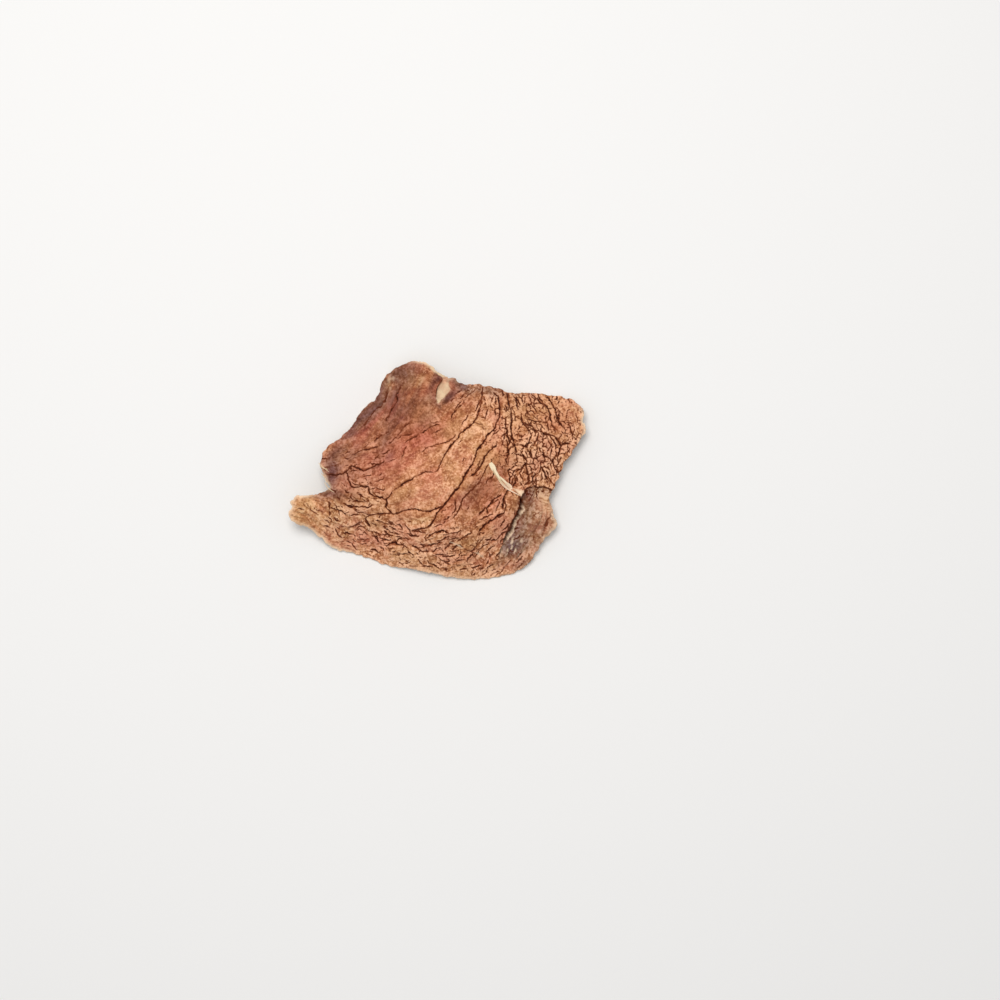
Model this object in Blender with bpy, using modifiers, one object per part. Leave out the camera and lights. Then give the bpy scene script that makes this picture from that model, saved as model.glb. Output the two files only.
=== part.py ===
# A dried wild mushroom lying cap up: a thin domed cap with a wavy margin, a wedge at its top margin
# where the skin has come away, and a sunken torn flap at its lower right; the fan of gills below it,
# a short bent stem, and one loose fibre on top. It rests on the low points of its margin.
# Metres, +Z up. The origin is on the surface it rests on, under the middle of the cap.

import math

import bmesh
import bpy
import numpy as np
from mathutils import Vector
from mathutils.bvhtree import BVHTree

MM = 0.001

# The cap's sheet
CROWN_HEIGHT = 15.5 * MM  # top of the cap's middle above the surface it rests on
CROWN_THICKNESS = 2.8 * MM
MARGIN_THICKNESS = 1.2 * MM
TURN_DOWN = 2.4  # how late the cap turns down on its way out; higher is flatter and later
SHOULDER = 0.62  # share of the way out at which the cap's height is held too
SHOULDER_EVERY = 3  # one shoulder point for this many points of the margin
MIDDLE = (-3.0 * MM, 1.5 * MM)  # where the stem joins, seen from above
CAP_SPOKES = 96
CAP_RINGS = 10
RING_CROWDING = 0.85  # under 1, the rings lie closer together towards the margin

# The margin seen from above, anticlockwise from the right tip: x, y and the height of its upper
# edge, in millimetres. The lowest stretches are the ones that it rests on.
MARGIN = (
    (36.0, 10.2, 4.6),
    (35.2, 15.3, 4.2),
    (32.0, 17.8, 2.6),
    (27.8, 18.7, 0.6),
    (21.1, 19.2, 0.8),
    (15.1, 20.1, 2.6),
    (9.0, 21.2, 4.6),
    (3.5, 22.8, 5.6),
    (-1.6, 25.4, 5.4),
    (-7.4, 26.8, 3.6),
    (-12.4, 24.0, 1.8),
    (-13.2, 19.4, 0.5),
    (-16.2, 15.0, 0.5),
    (-20.9, 10.9, 2.0),
    (-25.4, 6.6, 3.8),
    (-28.0, 3.0, 5.2),
    (-28.6, -0.9, 6.4),
    (-31.2, -4.0, 7.4),
    (-34.4, -6.6, 8.2),
    (-36.0, -9.8, 8.0),
    (-34.2, -12.8, 6.4),
    (-31.0, -14.2, 4.6),
    (-28.0, -17.4, 2.6),
    (-23.5, -19.6, 0.9),
    (-16.7, -21.4, 0.5),
    (-10.0, -23.6, 1.4),
    (-3.0, -25.0, 2.0),
    (4.0, -26.3, 1.2),
    (10.0, -26.8, 0.5),
    (15.5, -26.1, 0.5),
    (20.6, -23.8, 2.6),
    (24.0, -19.0, 4.0),
    (27.6, -15.2, 4.8),
    (28.8, -12.4, 5.2),
    (27.3, -8.0, 5.0),
    (28.2, -4.2, 4.4),
    (30.6, 0.8, 4.6),
    (33.6, 5.8, 4.8),
)

# Long swells of the cap's top, each a line from one end to the other with its height and reach
RIDGE = dict(start=(11.0, 16.0), end=(-9.0, -5.0), height=1.4 * MM, reach=4.5 * MM)
VALLEY = dict(start=(17.0, -1.0), end=(17.0, -17.0), height=-1.3 * MM, reach=3.5 * MM)

# The flap at the lower right, sunk below a curved fold from its upper corner to its foot
FOLD_TOP = (20.4, -6.4)
FOLD_FOOT = (15.2, -20.6)
FLAP_DEPTH = 1.0 * MM
FOLD_WIDTH = 3.0 * MM

# The bare wedge at the top margin, a recess as deep as the skin that has come away
WEDGE_TIP = (0.1, 16.0)
WEDGE_MOUTH = (3.0, 25.0)
WEDGE_WIDTH = 3.2 * MM
WEDGE_DEPTH = 0.6 * MM

# The gills, pleats that hang below the flesh from the stem nearly to the margin
GILL_SPOKES = 120
GILL_RINGS = 6
GILL_GAP = 0.35 * MM
GILL_INNER_RADIUS = 5.8 * MM
GILL_OUTER_SHARE = 0.86
GILL_DEPTH = 2.1 * MM
GILL_VALLEY = 0.3  # depth between two blades as a share of a blade's
GILL_SHALLOWEST = 0.5  # a blade's depth at the margin as a share of its depth at the stem

# The stem's middle line from the flesh to its broken end: x, y, z and radius, in millimetres
STEM_LINE = (
    (-3.0, 1.5, 12.3, 3.5),
    (-3.1, 1.4, 9.4, 3.1),
    (-4.6, 0.9, 6.2, 3.0),
    (-8.6, -0.3, 4.3, 2.9),
    (-14.0, -2.0, 3.7, 2.8),
    (-19.5, -3.9, 3.2, 2.6),
    (-22.6, -5.0, 2.9, 2.0),
)
STEM_ROUNDNESS = 4  # bevel resolution, for 12 faces round the stem
STEM_RINGS = 22

# The loose fibre, seen from above, in millimetres
STRAND_LINE = (
    (12.8, 1.6),
    (14.1, -0.8),
    (15.3, -2.8),
    (16.5, -4.0),
    (18.9, -5.2),
    (20.4, -6.1),
)
STRAND_RADIUS = 0.4 * MM
STRAND_GAP = 0.35 * MM
STRAND_ROUNDNESS = 1
STRAND_RINGS = 14

FLOOR_SIZE = 0.2
NO_DISTANCE = 1e-12  # keeps the plate's bend finite at the points that hold it
SAME_PLACE = 0.001 * MM

# Colours in linear light, with roughness
SKIN = ((0.50, 0.21, 0.09), 0.75)
GILL = ((0.62, 0.45, 0.25), 0.85)
STALK = ((0.45, 0.29, 0.15), 0.8)
FIBRE = ((0.78, 0.62, 0.40), 0.8)


def clear_scene():
    for item in list(bpy.data.objects):
        bpy.data.objects.remove(item)


def collection(name):
    made = bpy.data.collections.new(name)
    bpy.context.scene.collection.children.link(made)
    return made


def finish(name, look):
    colour, roughness = look
    material = bpy.data.materials.new(name)
    material.use_nodes = True
    shader = material.node_tree.nodes["Principled BSDF"]
    shader.inputs["Base Color"].default_value = (*colour, 1.0)
    shader.inputs["Roughness"].default_value = roughness
    shader.inputs["Metallic"].default_value = 0.0
    return material


def smooth_loop(points, turn):
    """A point on the closed smooth curve through the points, turn going once round from 0 to 1."""
    count = len(points)
    place = (turn % 1.0) * count
    first = int(place)
    along = place - first
    before, start, end, after = (points[(first + step) % count] for step in (-1, 0, 1, 2))
    return 0.5 * (
        2.0 * start
        + (end - before) * along
        + (2.0 * before - 5.0 * start + 4.0 * end - after) * along**2
        + (3.0 * start - before - 3.0 * end + after) * along**3
    )


def from_line(x, y, start, end):
    """How far a point lies from a line between two points given in millimetres."""
    start = Vector(start) * MM
    way = Vector(end) * MM - start
    here = Vector((x, y)) - start
    share = min(max(here.dot(way) / way.length_squared, 0.0), 1.0)
    return (here - way * share).length


def swell(x, y, start, end, height, reach):
    return height * math.exp(-((from_line(x, y, start, end) / reach) ** 2))


def smooth_step(value):
    value = min(max(value, 0.0), 1.0)
    return value * value * (3.0 - 2.0 * value)


def flap_drop(x, y):
    """The step down to the flap, full to the right of the fold and below its top corner."""
    top = Vector(FOLD_TOP) * MM
    way = (Vector(FOLD_FOOT) * MM - top).normalized()
    here = Vector((x, y)) - top
    right = here.x * -way.y + here.y * way.x
    down = here.dot(way)
    return FLAP_DEPTH * smooth_step(right / FOLD_WIDTH) * smooth_step(down / FOLD_WIDTH)


def held_heights():
    """Where the cap's height is held: on its margin, on its shoulder, and in the middle."""
    held = list(MARGIN_POINTS)
    middle = np.array((*MIDDLE, CROWN_HEIGHT))
    for edge in MARGIN_POINTS[::SHOULDER_EVERY]:
        point = middle + (edge - middle) * SHOULDER
        point[2] = edge[2] + (CROWN_HEIGHT - edge[2]) * (1.0 - SHOULDER**TURN_DOWN)
        held.append(point)
    held.append(middle)
    return np.array(held)


def plate_bend(distance_squared):
    """The bend of a thin plate round a point that holds it."""
    return distance_squared * np.log(distance_squared + NO_DISTANCE)


def bent_plate(held):
    """Weights of a thin plate bent through the held points: one for each point and three for its
    tilt."""
    count = len(held)
    away = held[:, None, :2] - held[None, :, :2]
    system = np.zeros((count + 3, count + 3))
    system[:count, :count] = plate_bend((away**2).sum(axis=2))
    system[:count, count] = 1.0
    system[:count, count + 1 :] = held[:, :2]
    system[count:, :count] = system[:count, count:].T
    return np.linalg.solve(system, np.append(held[:, 2], np.zeros(3)))


def cap_height(x, y):
    """The height of the cap's top."""
    bends = plate_bend(((HELD[:, :2] - (x, y)) ** 2).sum(axis=1))
    height = float(bends @ PLATE[:-3] + PLATE[-3:] @ (1.0, x, y))
    return height + swell(x, y, **RIDGE) + swell(x, y, **VALLEY) - flap_drop(x, y)


def towards_margin(start, share, turn):
    """A point seen from above, a share of the way from start to the margin."""
    edge = smooth_loop(MARGIN_POINTS, turn)
    return start[0] + (edge[0] - start[0]) * share, start[1] + (edge[1] - start[1]) * share


def cap_outward(x, y):
    """The direction straight out of the cap's top."""
    step = 0.2 * MM
    slope_x = (cap_height(x + step, y) - cap_height(x - step, y)) / (2.0 * step)
    slope_y = (cap_height(x, y + step) - cap_height(x, y - step)) / (2.0 * step)
    return Vector((-slope_x, -slope_y, 1.0)).normalized()


def under_cap(x, y, depth):
    """A point at a depth below the cap's top, straight into the flesh."""
    return Vector((x, y, cap_height(x, y))) - cap_outward(x, y) * depth


def flesh_thickness(share):
    return MARGIN_THICKNESS + (CROWN_THICKNESS - MARGIN_THICKNESS) * (1.0 - share**2)


def bent_grid(name, spokes, rings, place, weight, home):
    """A flat grid bent round into a disc or ring. place(share, turn) gives each point, and
    weight(ring, spoke) the share of the full thickness there."""
    mesh = bpy.data.meshes.new(name)
    item = bpy.data.objects.new(name, mesh)
    home.objects.link(item)
    group = item.vertex_groups.new(name="thickness")
    shape = bmesh.new()
    bmesh.ops.create_grid(shape, x_segments=spokes, y_segments=rings, size=1.0)
    layer = shape.verts.layers.deform.verify()
    for point in shape.verts:
        spoke = round((point.co.x + 1.0) / 2.0 * spokes)
        ring = round((point.co.y + 1.0) / 2.0 * rings)
        point[layer][group.index] = weight(ring / rings, spoke)
        point.co = place(ring / rings, spoke / spokes)
    bmesh.ops.remove_doubles(shape, verts=shape.verts, dist=SAME_PLACE)
    shape.normal_update()
    if sum(face.normal.z for face in shape.faces) < 0.0:
        bmesh.ops.reverse_faces(shape, faces=shape.faces)
    shape.to_mesh(mesh)
    shape.free()
    mesh.shade_smooth()
    return item


def thicken(item, thickness):
    shell = item.modifiers.new("thickness", "SOLIDIFY")
    shell.thickness = thickness
    shell.offset = -1.0
    shell.vertex_group = "thickness"


def cut(item, cutter):
    away = item.modifiers.new(cutter.name, "BOOLEAN")
    away.operation = "DIFFERENCE"
    away.solver = "EXACT"
    away.object = cutter


def cutter_object(name, shape, home):
    mesh = bpy.data.meshes.new(name)
    shape.to_mesh(mesh)
    shape.free()
    item = bpy.data.objects.new(name, mesh)
    item.hide_render = True
    item.display_type = "WIRE"
    home.objects.link(item)
    return item


def wedge_cutter(home):
    """A three-sided prism laid on the cap's slope, sunk by the wedge's depth."""
    tip = Vector((*WEDGE_TIP, 0.0)) * MM
    mouth = Vector((*WEDGE_MOUTH, 0.0)) * MM
    tip.z = cap_height(tip.x, tip.y)
    mouth.z = cap_height(mouth.x, mouth.y)
    middle = (tip + mouth) / 2.0
    upward = cap_outward(middle.x, middle.y)
    across = upward.cross(mouth - tip).normalized() * WEDGE_WIDTH / 2.0
    upward = (mouth - tip).cross(across).normalized()
    surface = Vector((middle.x, middle.y, cap_height(middle.x, middle.y)))
    lift = upward * ((surface - middle).dot(upward) - WEDGE_DEPTH)
    corners = (tip, mouth + across, mouth - across)
    shape = bmesh.new()
    bmesh.ops.create_cone(shape, cap_ends=True, segments=3, radius1=1.0, radius2=1.0, depth=2.0)
    for point in shape.verts:
        turn = math.atan2(point.co.x, point.co.y) / math.tau * 3.0
        floor = corners[round(turn) % 3] + lift
        point.co = floor + upward * (CROWN_HEIGHT if point.co.z > 0.0 else 0.0)
    bmesh.ops.recalc_face_normals(shape, faces=shape.faces)
    return cutter_object("wedge_cutter", shape, home)


def floor_cutter(home):
    """A block whose top is the surface that the mushroom rests on."""
    shape = bmesh.new()
    bmesh.ops.create_cube(shape, size=FLOOR_SIZE)
    bmesh.ops.translate(shape, verts=shape.verts, vec=(0.0, 0.0, -FLOOR_SIZE / 2.0))
    return cutter_object("floor_cutter", shape, home)


def make_cap(home, cutters):
    """The skin with its flesh: a thin sheet, thickest in the middle, bare on the wedge and worn
    flat where it rests."""

    def place(ring, turn):
        x, y = towards_margin(MIDDLE, ring**RING_CROWDING, turn)
        return Vector((x, y, cap_height(x, y)))

    def weight(ring, spoke):
        return flesh_thickness(ring**RING_CROWDING) / CROWN_THICKNESS

    cap = bent_grid("cap", CAP_SPOKES, CAP_RINGS, place, weight, home)
    thicken(cap, CROWN_THICKNESS)
    cut(cap, wedge_cutter(cutters))
    cut(cap, floor_cutter(cutters))
    cap.data.materials.append(finish("cap_skin", SKIN))
    return cap


def make_gills(home):
    """The gills: one pleated sheet below the flesh, shallower towards the margin."""

    def place(ring, turn):
        edge = smooth_loop(MARGIN_POINTS, turn)
        way = Vector((edge[0] - MIDDLE[0], edge[1] - MIDDLE[1]))
        inner = GILL_INNER_RADIUS / way.length
        share = inner + (GILL_OUTER_SHARE - inner) * ring
        x, y = towards_margin(MIDDLE, share, turn)
        return under_cap(x, y, flesh_thickness(share) + GILL_GAP)

    def weight(ring, spoke):
        blade = 1.0 if spoke % 2 else GILL_VALLEY
        return blade * (1.0 + (GILL_SHALLOWEST - 1.0) * ring**2)

    gills = bent_grid("gills", GILL_SPOKES, GILL_RINGS, place, weight, home)
    thicken(gills, GILL_DEPTH)
    gills.data.materials.append(finish("gill", GILL))
    return gills


def tube(name, line, resolution, home):
    """A closed round tube along points of x, y, z and radius in metres."""
    curve = bpy.data.curves.new(name, "CURVE")
    curve.dimensions = "3D"
    curve.bevel_depth = 1.0
    curve.bevel_resolution = resolution
    curve.use_fill_caps = True
    spline = curve.splines.new("POLY")
    spline.points.add(len(line) - 1)
    for point, (x, y, z, radius) in zip(spline.points, line, strict=True):
        point.co = (x, y, z, 1.0)
        point.radius = radius
    spline.use_smooth = True
    item = bpy.data.objects.new(name, curve)
    home.objects.link(item)
    return item


def smooth_line(points, count):
    """Evenly spread points along the open smooth curve through the given ones."""
    points = np.array(points)
    padded = np.vstack([2.0 * points[0] - points[1], points, 2.0 * points[-1] - points[-2]])
    found = []
    for place in np.linspace(0.0, len(points) - 1.0, count):
        first = min(int(place), len(points) - 2)
        share = (place - first + 1.0) / len(padded)
        found.append(smooth_loop(padded, share + first / len(padded)))
    return found


def make_stem(home):
    """The stalk, bent over below the cap, with its end broken off."""
    line = [tuple(np.array(point) * MM) for point in smooth_line(STEM_LINE, STEM_RINGS)]
    stem = tube("stem", line, STEM_ROUNDNESS, home)
    stem.data.materials.append(finish("stalk", STALK))
    return stem


def make_strand(home, cap):
    """The loose fibre, laid along the cap's top."""
    cap_shape = bmesh.new()
    cap_shape.from_mesh(cap.data)
    skin = BVHTree.FromBMesh(cap_shape)
    cap_shape.free()
    line = []
    for x, y in smooth_line(STRAND_LINE, STRAND_RINGS):
        above = Vector((x * MM, y * MM, 2.0 * CROWN_HEIGHT))
        hit = skin.ray_cast(above, Vector((0.0, 0.0, -1.0)))[0]
        line.append((hit.x, hit.y, hit.z + STRAND_GAP + STRAND_RADIUS, STRAND_RADIUS))
    strand = tube("strand", line, STRAND_ROUNDNESS, home)
    strand.data.materials.append(finish("fibre", FIBRE))
    return strand


MARGIN_POINTS = [np.array(point) * MM for point in MARGIN]
HELD = held_heights()
PLATE = bent_plate(HELD)

clear_scene()
parts = collection("dried_mushroom")
cutters = collection("cutters")
cap = make_cap(parts, cutters)
make_gills(parts)
make_stem(parts)
make_strand(parts, cap)
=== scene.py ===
import math

import bpy
import numpy as np
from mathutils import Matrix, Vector
from mathutils.bvhtree import BVHTree
from mathutils.geometry import delaunay_2d_cdt


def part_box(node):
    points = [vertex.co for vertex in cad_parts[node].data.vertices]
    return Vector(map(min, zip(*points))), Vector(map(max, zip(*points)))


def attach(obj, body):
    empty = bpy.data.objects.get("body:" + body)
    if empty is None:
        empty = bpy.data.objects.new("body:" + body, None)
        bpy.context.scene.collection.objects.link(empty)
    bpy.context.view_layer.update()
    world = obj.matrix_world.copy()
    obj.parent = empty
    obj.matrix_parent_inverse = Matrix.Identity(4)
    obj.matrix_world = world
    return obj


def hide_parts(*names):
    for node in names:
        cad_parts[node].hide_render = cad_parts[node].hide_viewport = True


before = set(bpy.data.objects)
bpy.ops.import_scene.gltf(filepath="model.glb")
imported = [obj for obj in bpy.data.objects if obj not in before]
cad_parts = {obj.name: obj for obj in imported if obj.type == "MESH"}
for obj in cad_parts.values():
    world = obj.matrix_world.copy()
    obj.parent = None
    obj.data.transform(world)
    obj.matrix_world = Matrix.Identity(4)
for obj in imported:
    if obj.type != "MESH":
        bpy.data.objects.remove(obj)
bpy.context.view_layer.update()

MM = 0.001


# The camera looks straight down on the mushroom, with the top of the picture towards +Y.
PICTURE_WIDTH = 241.0 * MM
PICTURE_MIDDLE = (15.06 * MM, -7.11 * MM)
SKIN_LEVEL = 10.0 * MM
LENS = 85.0
SENSOR = 36.0

camera_data = bpy.data.cameras.new("camera")
camera_data.lens = LENS
camera_data.sensor_width = SENSOR
camera = bpy.data.objects.new("camera", camera_data)
camera.location = (*PICTURE_MIDDLE, SKIN_LEVEL + PICTURE_WIDTH * LENS / SENSOR)
bpy.context.scene.collection.objects.link(camera)
bpy.context.scene.camera = camera


# A plain pale studio floor, one large soft light from the top of the picture and a pale room.
FLOOR_HALF = 1.5
FLOOR_COLOUR = (0.86, 0.85, 0.84)
ROOM_COLOUR = (0.97, 0.985, 1.0)
ROOM_STRENGTH = 0.52
KEY_PLACE = (-0.06, 0.18, 0.63)
KEY_TARGET = (0.0, 0.0, 0.01)
KEY_SIZE = 0.30
KEY_POWER = 2.7
KEY_COLOUR = (1.0, 0.985, 0.96)


def lay_floor():
    mesh = bpy.data.meshes.new("floor")
    half = FLOOR_HALF
    mesh.from_pydata(
        [(-half, -half, 0.0), (half, -half, 0.0), (half, half, 0.0), (-half, half, 0.0)],
        [],
        [(0, 1, 2, 3)],
    )
    paint = bpy.data.materials.new("floor_paint")
    paint.use_nodes = True
    shader = paint.node_tree.nodes["Principled BSDF"]
    shader.inputs["Base Color"].default_value = (*FLOOR_COLOUR, 1.0)
    shader.inputs["Roughness"].default_value = 0.9
    mesh.materials.append(paint)
    floor = bpy.data.objects.new("floor", mesh)
    bpy.context.scene.collection.objects.link(floor)


def hang_light():
    lamp = bpy.data.lights.new("key_light", "AREA")
    lamp.energy = KEY_POWER
    lamp.size = KEY_SIZE
    lamp.color = KEY_COLOUR
    key = bpy.data.objects.new("key_light", lamp)
    key.location = KEY_PLACE
    aim = Vector(KEY_TARGET) - key.location
    key.rotation_euler = aim.to_track_quat("-Z", "Y").to_euler()
    bpy.context.scene.collection.objects.link(key)
    room = bpy.data.worlds.new("room")
    room.use_nodes = True
    background = room.node_tree.nodes["Background"]
    background.inputs["Color"].default_value = (*ROOM_COLOUR, 1.0)
    background.inputs["Strength"].default_value = ROOM_STRENGTH
    bpy.context.scene.world = room


lay_floor()
hang_light()
bpy.context.scene.view_settings.view_transform = "Standard"


# The cap, one dried leathery sheet of skin and flesh that grew as a dome and wrinkled as it dried.
# Its skin is laid out below on a flat map, in millimetres: outline, form, creases, then colours.
MAP_STEP = 0.12
MAP_REST = 1.5
low, high = (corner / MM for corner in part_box("cap"))
map_across = np.arange(low.x - MAP_REST, high.x + MAP_REST, MAP_STEP)
map_up = np.arange(low.y - MAP_REST, high.y + MAP_REST, MAP_STEP)
MAP_X, MAP_Y = np.meshgrid(map_across, map_up)

# The margin seen from above, clockwise from the tip of the left lobe
MARGIN = (
    (-35.5, -8.6), (-35.5, -7.4), (-34.3, -6.2), (-32.4, -6.0), (-28.8, -5.6), (-26.1, -4.2),
    (-27.0, -2.2), (-27.8, -0.6), (-28.6, 1.6), (-28.1, 4.2), (-26.9, 5.9), (-23.7, 8.3),
    (-21.1, 11.0), (-19.0, 14.6), (-15.6, 17.6), (-14.2, 20.2), (-13.6, 22.4), (-12.0, 24.0),
    (-9.5, 25.5), (-7.1, 26.5), (-4.9, 26.7), (-3.3, 26.4), (-1.4, 25.3), (-0.2, 24.1),
    (2.3, 22.7), (4.2, 22.3), (5.4, 21.4), (7.3, 20.9), (10.2, 21.0), (12.7, 20.5),
    (14.6, 20.1), (16.4, 19.4), (18.6, 19.0), (21.1, 19.1), (24.5, 19.0), (27.0, 18.6),
    (30.4, 18.1), (32.9, 17.2), (35.0, 15.5), (35.4, 13.9), (35.4, 12.3), (35.9, 10.3),
    (35.8, 9.2), (34.1, 6.9), (32.6, 4.4), (30.9, 2.2), (30.0, 0.2), (29.3, -1.8),
    (28.3, -4.0), (27.4, -5.4), (27.1, -6.6), (27.2, -7.8), (27.8, -9.2), (28.1, -10.7),
    (28.9, -12.2), (28.8, -13.4), (27.9, -14.7), (26.5, -16.2), (25.1, -17.6), (24.5, -18.9),
    (23.4, -20.7), (22.4, -22.2), (20.5, -23.8), (18.2, -25.0), (14.3, -26.0), (10.6, -26.4),
    (7.8, -26.5), (3.0, -26.0), (-5.9, -24.1), (-12.2, -23.2), (-16.7, -21.5), (-21.0, -20.1),
    (-24.4, -19.4), (-27.1, -17.9), (-29.6, -15.5), (-31.2, -14.1), (-32.6, -13.4), (-34.4, -12.9),
    (-35.7, -11.9), (-36.0, -10.3),
)  # fmt: skip
MARGIN_SPACING = 0.19
RAGGED = ((4.0, 0.10), (1.3, 0.04))


def rounded(line, spacing, closed=False):
    """Evenly spread points on the smooth curve through a line's points. Any values after the
    third are carried along."""
    line = np.array(line, float)
    if closed:
        padded = np.vstack([line[-1:], line, line[:2]])
    else:
        padded = np.vstack([2.0 * line[0] - line[1], line, 2.0 * line[-1] - line[-2]])
    pieces = []
    share = np.linspace(0.0, 1.0, 24, endpoint=False)[:, None]
    for before, start, end, after in zip(padded, padded[1:], padded[2:], padded[3:]):
        pieces.append(
            0.5
            * (
                2.0 * start
                + (end - before) * share
                + (2.0 * before - 5.0 * start + 4.0 * end - after) * share**2
                + (3.0 * start - before - 3.0 * end + after) * share**3
            )
        )
    dense = np.vstack([*pieces, line[:1] if closed else line[-1:]])
    steps = np.linalg.norm(np.diff(dense[:, :3], axis=0), axis=1)
    run = np.append(0.0, np.cumsum(steps))
    count = max(2, round(run[-1] / spacing))
    places = np.linspace(0.0, run[-1], count + 1)
    if closed:
        places = places[:-1]
    return np.stack([np.interp(places, run, column) for column in dense.T], axis=1)


def loop_noise(random, count, length, size):
    """Smooth random waves round a closed line, about one for each size along it."""
    waves = max(3, round(length / size))
    turns = np.arange(count) / count * math.tau
    total = np.zeros(count)
    for wave in range(max(1, waves // 2), waves * 2):
        total += random.normal() * np.cos(wave * turns + random.uniform(0.0, math.tau))
    return total / total.std()


def outward(loop):
    """The sideways direction out of a clockwise loop at each of its points."""
    along = np.roll(loop, -1, axis=0) - np.roll(loop, 1, axis=0)
    along /= np.hypot(*along.T)[:, None]
    return np.stack([-along[:, 1], along[:, 0]], axis=1)


def draw_margin():
    random = np.random.default_rng(11)
    loop = rounded(MARGIN, MARGIN_SPACING, closed=True)
    length = len(loop) * MARGIN_SPACING
    push = np.zeros(len(loop))
    for size, reach in RAGGED:
        push += reach * loop_noise(random, len(loop), length, size)
    return loop + outward(loop) * np.minimum(push, 0.15)[:, None]


margin = draw_margin()


def read_map(values, x, y):
    """The value of a map at places given in millimetres, blended between its cells."""
    column = np.clip((x - map_across[0]) / MAP_STEP, 0.0, len(map_across) - 1.001)
    row = np.clip((y - map_up[0]) / MAP_STEP, 0.0, len(map_up) - 1.001)
    left, below = column.astype(int), row.astype(int)
    across, up = column - left, row - below
    lower = values[below, left] * (1.0 - across) + values[below, left + 1] * across
    upper = values[below + 1, left] * (1.0 - across) + values[below + 1, left + 1] * across
    return lower * (1.0 - up) + upper * up


def blurred(values, reach):
    """A map softened over a reach in millimetres."""
    rise = np.fft.fftfreq(values.shape[0], MAP_STEP)[:, None]
    run = np.fft.rfftfreq(values.shape[1], MAP_STEP)[None, :]
    keep = np.exp(-2.0 * (math.pi * reach) ** 2 * (rise**2 + run**2))
    return np.fft.irfft2(np.fft.rfft2(values) * keep, s=values.shape)


def patches(seed, size):
    """Soft random patches of about a size in millimetres, zero on average, with a spread of one."""
    noise = blurred(np.random.default_rng(seed).standard_normal(MAP_X.shape), size * 0.32)
    return (noise - noise.mean()) / noise.std()


def smooth_step(value, start, end):
    share = np.clip((value - start) / (end - start), 0.0, 1.0)
    return share * share * (3.0 - 2.0 * share)


def inside(loop, x, y):
    """Whether places lie inside a closed loop."""
    found = np.zeros(x.shape, bool)
    for (x1, y1), (x2, y2) in zip(loop, np.roll(loop, -1, axis=0)):
        if y1 == y2:
            continue
        crosses = (y1 > y) != (y2 > y)
        found ^= crosses & (x < (x2 - x1) * (y - y1) / (y2 - y1) + x1)
    return found


def distance_in(loop):
    """A map of how far inside a closed loop each place lies, negative outside."""
    every = 4
    x, y = MAP_X[::every, ::every], MAP_Y[::every, ::every]
    away = np.full(x.shape, 1e9)
    for px, py in loop:
        away = np.minimum(away, (x - px) ** 2 + (y - py) ** 2)
    away = np.sqrt(away) * np.where(inside(loop, x, y), 1.0, -1.0)
    columns = np.clip((map_across - map_across[0]) / (MAP_STEP * every), 0, x.shape[1] - 1.001)
    rows = np.clip((map_up - map_up[0]) / (MAP_STEP * every), 0, x.shape[0] - 1.001)
    left, below = columns.astype(int), rows.astype(int)
    across, up = (columns - left)[None, :], (rows - below)[:, None]
    lower = away[below][:, left] * (1.0 - across) + away[below][:, left + 1] * across
    upper = away[below + 1][:, left] * (1.0 - across) + away[below + 1][:, left + 1] * across
    return lower * (1.0 - up) + upper * up


from_margin = distance_in(margin)


# The form that the cap dried to, read from the frame as a thin plate bent through its top
FORM_SPACING = 3.4
FORM_INSET = 0.8
FORM_LOWEST = 0.95
FORM_SOFT = 0.15


def plate_bend(distance_squared):
    return distance_squared * np.log(distance_squared + 1e-9)


def read_form():
    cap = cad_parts["cap"].data
    points = [vertex.co / MM for vertex in cap.vertices]
    skin = BVHTree.FromPolygons(points, [tuple(face.vertices) for face in cap.polygons])
    grid = np.stack(
        np.meshgrid(
            np.arange(low.x, high.x, FORM_SPACING), np.arange(low.y, high.y, FORM_SPACING)
        ),
        axis=-1,
    ).reshape(-1, 2)
    grid = grid[read_map(from_margin, grid[:, 0], grid[:, 1]) > 2.0]
    edge = (margin - outward(margin) * FORM_INSET)[::14]
    held = []
    for x, y in np.vstack([grid, edge]):
        hit = skin.ray_cast(Vector((x, y, 2.0 * high.z)), Vector((0.0, 0.0, -1.0)))[0]
        if hit is not None:
            held.append((x, y, hit.z))
    held = np.array(held)
    count = len(held)
    system = np.zeros((count + 3, count + 3))
    away = held[:, None, :2] - held[None, :, :2]
    system[:count, :count] = plate_bend((away**2).sum(axis=2)) + 0.4 * np.eye(count)
    system[:count, count] = 1.0
    system[:count, count + 1 :] = held[:, :2]
    system[count:, :count] = system[:count, count:].T
    weights = np.linalg.solve(system, np.append(held[:, 2], np.zeros(3)))
    form = weights[count] + weights[count + 1] * MAP_X + weights[count + 2] * MAP_Y
    for (x, y, _), weight in zip(held, weights):
        form += weight * plate_bend((MAP_X - x) ** 2 + (MAP_Y - y) ** 2)
    lift = FORM_SOFT * np.logaddexp(0.0, (form - FORM_LOWEST) / FORM_SOFT)
    return FORM_LOWEST + lift


form = read_form()

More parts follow.
